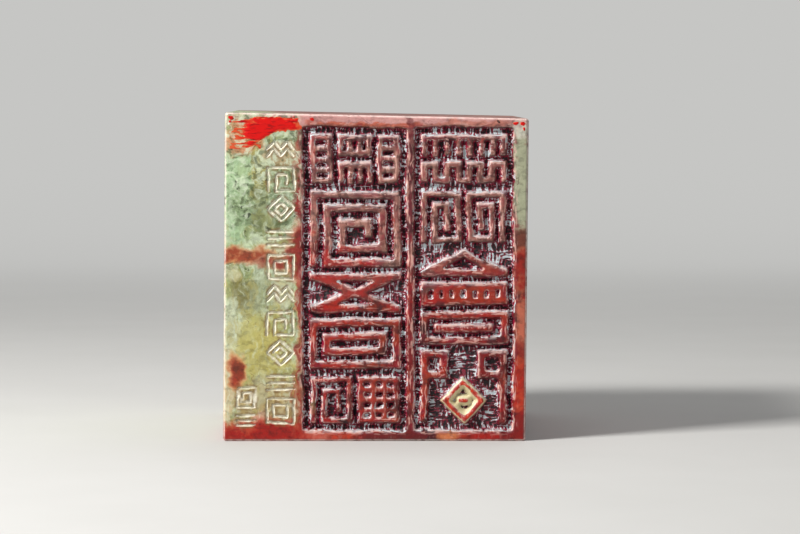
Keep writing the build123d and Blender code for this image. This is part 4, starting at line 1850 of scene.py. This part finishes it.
@dataclass
class Studio:
    """Pale floor and backdrop, soft lamps, and the camera at the photograph's viewing angle."""

    pale: Colour = from_screen(198, 198, 196)
    camera_place: tuple[float, float, float] = (-3.11 * MM, -800.4 * MM, 81.98 * MM)
    camera_turn: tuple[float, float, float] = (86.887, -0.029, -0.652)
    lens: float = 149.5
    sensor: float = 36.0
    air: float = 0.13

    def build(self) -> None:
        """Builds the floor, the lamps, the world and the camera."""
        self._floor()
        self._lamp("key_lamp", (-0.5, -0.36, 0.52), size=0.2, power=8.6, colour=(1.0, 0.98, 0.95))
        self._lamp("fill_lamp", (0.6, -0.6, 0.25), size=0.7, power=0.6, colour=(0.95, 0.98, 1.0))
        self._lamp("top_lamp", (0.1, 0.25, 0.75), size=0.6, power=1.8, colour=(1.0, 1.0, 1.0))
        self._world()
        self._camera()

    def _floor(self) -> None:
        """A floor that curves up into a backdrop."""
        near_edge, flat, bend, half_width = -1.2, 0.7, 0.4, 1.6
        profile = [(near_edge, 0.0), (flat, 0.0)]
        for angle in np.linspace(0.1, math.pi / 2, 10):
            profile.append((flat + bend * math.sin(angle), bend - bend * math.cos(angle)))
        profile.append((1.1, 1.8))
        points = np.array([(x, y, z) for y, z in profile for x in (-half_width, half_width)])
        faces = [(2 * i, 2 * i + 1, 2 * i + 3, 2 * i + 2) for i in range(len(profile) - 1)]
        new_piece("studio_floor", points, faces, self._paper(), None, 80.0)

    def _paper(self) -> bpy.types.Material:
        """Builds matt paper, which far behind the block is as pale as near it.

        Returns:
            The floor's material.
        """
        web = NodeWeb("studio_paper")
        place = web.place()
        _, away, _ = web.axes(place)
        colour = web.blend(web.noise(place, 40.0, 3.0) * 0.2, self.pale, (0.8, 0.8, 0.8))
        paper = web.node("ShaderNodeBsdfPrincipled", None, Base_Color=colour, Roughness=0.8)
        glow = web.node("ShaderNodeEmission", None, Color=self.pale, Strength=1.0)
        seen = web.out(web.node("ShaderNodeLightPath"), "Is Camera Ray")
        mixed = web.node("ShaderNodeMixShader", None, Fac=seen * web.fade(away, 150.0, 900.0))
        web.links.new(paper.outputs["BSDF"], mixed.inputs[1])
        web.links.new(glow.outputs["Emission"], mixed.inputs[2])
        output = web.node("ShaderNodeOutputMaterial")
        web.links.new(mixed.outputs["Shader"], output.inputs["Surface"])
        return web.material

    @staticmethod
    def _lamp(name: str, place: tuple[float, float, float], size: float, power: float,
              colour: Colour) -> None:
        """A soft square lamp that looks at the middle of the block.

        Args:
            name: Name of the lamp.
            place: Where it hangs.
            size: Side of the square.
            power: Power in watts.
            colour: Colour of its light.
        """
        data = bpy.data.lights.new(name, "AREA")
        data.size = size
        data.energy = power
        data.color = colour
        lamp = bpy.data.objects.new(name, data)
        lamp.location = place
        aim = Vector(BLOCK_MIDDLE) - Vector(place)
        lamp.rotation_euler = aim.to_track_quat("-Z", "Y").to_euler()
        bpy.context.scene.collection.objects.link(lamp)

    def _world(self) -> None:
        """Even light from all round."""
        world = bpy.data.worlds.new("studio_air")
        world.use_nodes = True
        background = world.node_tree.nodes["Background"]
        background.inputs["Color"].default_value = (1.0, 1.0, 1.0, 1.0)
        background.inputs["Strength"].default_value = self.air
        bpy.context.scene.world = world

    def _camera(self) -> None:
        """The camera, placed to match the corners of the block in the photograph."""
        data = bpy.data.cameras.new("camera")
        data.lens = self.lens
        data.sensor_width = self.sensor
        data.clip_start = 0.01
        camera = bpy.data.objects.new("camera", data)
        camera.location = self.camera_place
        camera.rotation_euler = tuple(math.radians(angle) for angle in self.camera_turn)
        bpy.context.scene.collection.objects.link(camera)
        bpy.context.scene.camera = camera


def cut_front(node: bpy.types.Object, low: Vector, high: Vector) -> HandCut:
    """Reads the carved front and says how it is cut.

    Args:
        node: The frame's stone.
        low: Its box's lowest corner.
        high: Its box's highest corner.

    Returns:
        The front's cutting, with the ornaments of its plain strip.
    """
    plane = FacePlane(Vector((0, low[1], 0)), Vector((1, 0, 0)), Vector((0, 0, 1)), Vector((0, 1, 0)))
    relief = CarvedMap(
        plane, (low[0] + MAP_INSET, low[2] + MAP_INSET), (high[0] - MAP_INSET, high[2] - 2 * MAP_INSET),
        pitch=0.15 * MM, deepest=1.4 * MM, flank=0.75 * MM,
    )
    relief.read(node)
    log.info("carved faces read, %d by %d on the front", *relief.depths.shape)
    half_band = (Motif.NEST, Motif.BARS, Motif.LOZENGE, Motif.FRET, Motif.CHEVRON)
    ornaments = (
        StripOrnament(across=-21.9 * MM, foot=3.6 * MM, width=7.0 * MM, step=6.7 * MM, order=2 * half_band),
        StripOrnament(
            across=-29.9 * MM, foot=2.4 * MM, width=4.8 * MM, step=5.2 * MM, order=(Motif.BARS, Motif.NEST),
        ),
        StripOrnament(
            across=-33.5 * MM, foot=72.6 * MM, width=2.2 * MM, step=2.2 * MM, order=(Motif.SCORE,),
            half_cut=0.34 * MM, halo=0.4 * MM, depth=0.12 * MM,
        ),
    )
    chisels = (ChiselMarks(0.75 * MM, 1), ChiselMarks(0.75 * MM, 2), ChiselMarks(0.6 * MM, 3))
    return HandCut(relief, chisels, ornaments, Accent(across=20.35 * MM, up=9.41 * MM, reach=5.1 * MM))


def cut_foot(node: bpy.types.Object, low: Vector, high: Vector) -> HandCut:
    """Reads the working face and says how it is cut.

    Args:
        node: The frame's stone.
        low: Its box's lowest corner.
        high: Its box's highest corner.

    Returns:
        The working face's cutting.
    """
    plane = FacePlane(Vector((0, 0, low[2])), Vector((1, 0, 0)), Vector((0, 1, 0)), Vector((0, 0, 1)))
    relief = CarvedMap(
        plane, (low[0] + MAP_INSET, low[1] + MAP_INSET), (high[0] - MAP_INSET, high[1] - MAP_INSET),
        pitch=0.25 * MM, deepest=1.5 * MM, flank=1.0 * MM,
    )
    relief.read(node)
    chisels = (ChiselMarks(1.5 * MM, 4), ChiselMarks(1.5 * MM, 5), ChiselMarks(1.2 * MM, 6))
    return HandCut(relief, chisels, ())


def main() -> None:
    """Builds the looks round the frame and reports each piece."""
    logging.basicConfig(level=logging.INFO, format="%(name)s: %(message)s")
    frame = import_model()
    stone_node = frame["nodes"]["seal_stone"]
    low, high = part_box("seal_stone")
    front = cut_front(stone_node, low, high)
    foot = cut_foot(stone_node, low, high)
    stone = SealStone(VeinedStone(), front, foot).build()
    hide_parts("seal_stone")
    dried = DriedPaste().material()
    fresh = FreshPaste().material()
    upright = (0, 2, 1)
    level = (0, 1, 2)
    pieces = [
        stone,
        PasteFilm("paste_film_left", "paste_left_panel", front, dried, upright, low[1], 0.26 * MM).build(),
        PasteFilm("paste_film_right", "paste_right_panel", front, dried, upright, low[1], 0.26 * MM).build(),
        PasteFilm("paste_film_foot", "paste_working_face", foot, dried, level, low[2], 0.6 * MM).build(),
        PasteSmear(fresh, low[1]).build(),
        PasteDabs(fresh, low[1]).build(),
    ]
    for piece in pieces:
        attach(piece, ROOT)
        log.info("%s: %d faces", piece.name, len(piece.data.polygons))
    Studio().build()
    bpy.context.scene.view_settings.view_transform = "Standard"


if __name__ == "__main__":
    main()
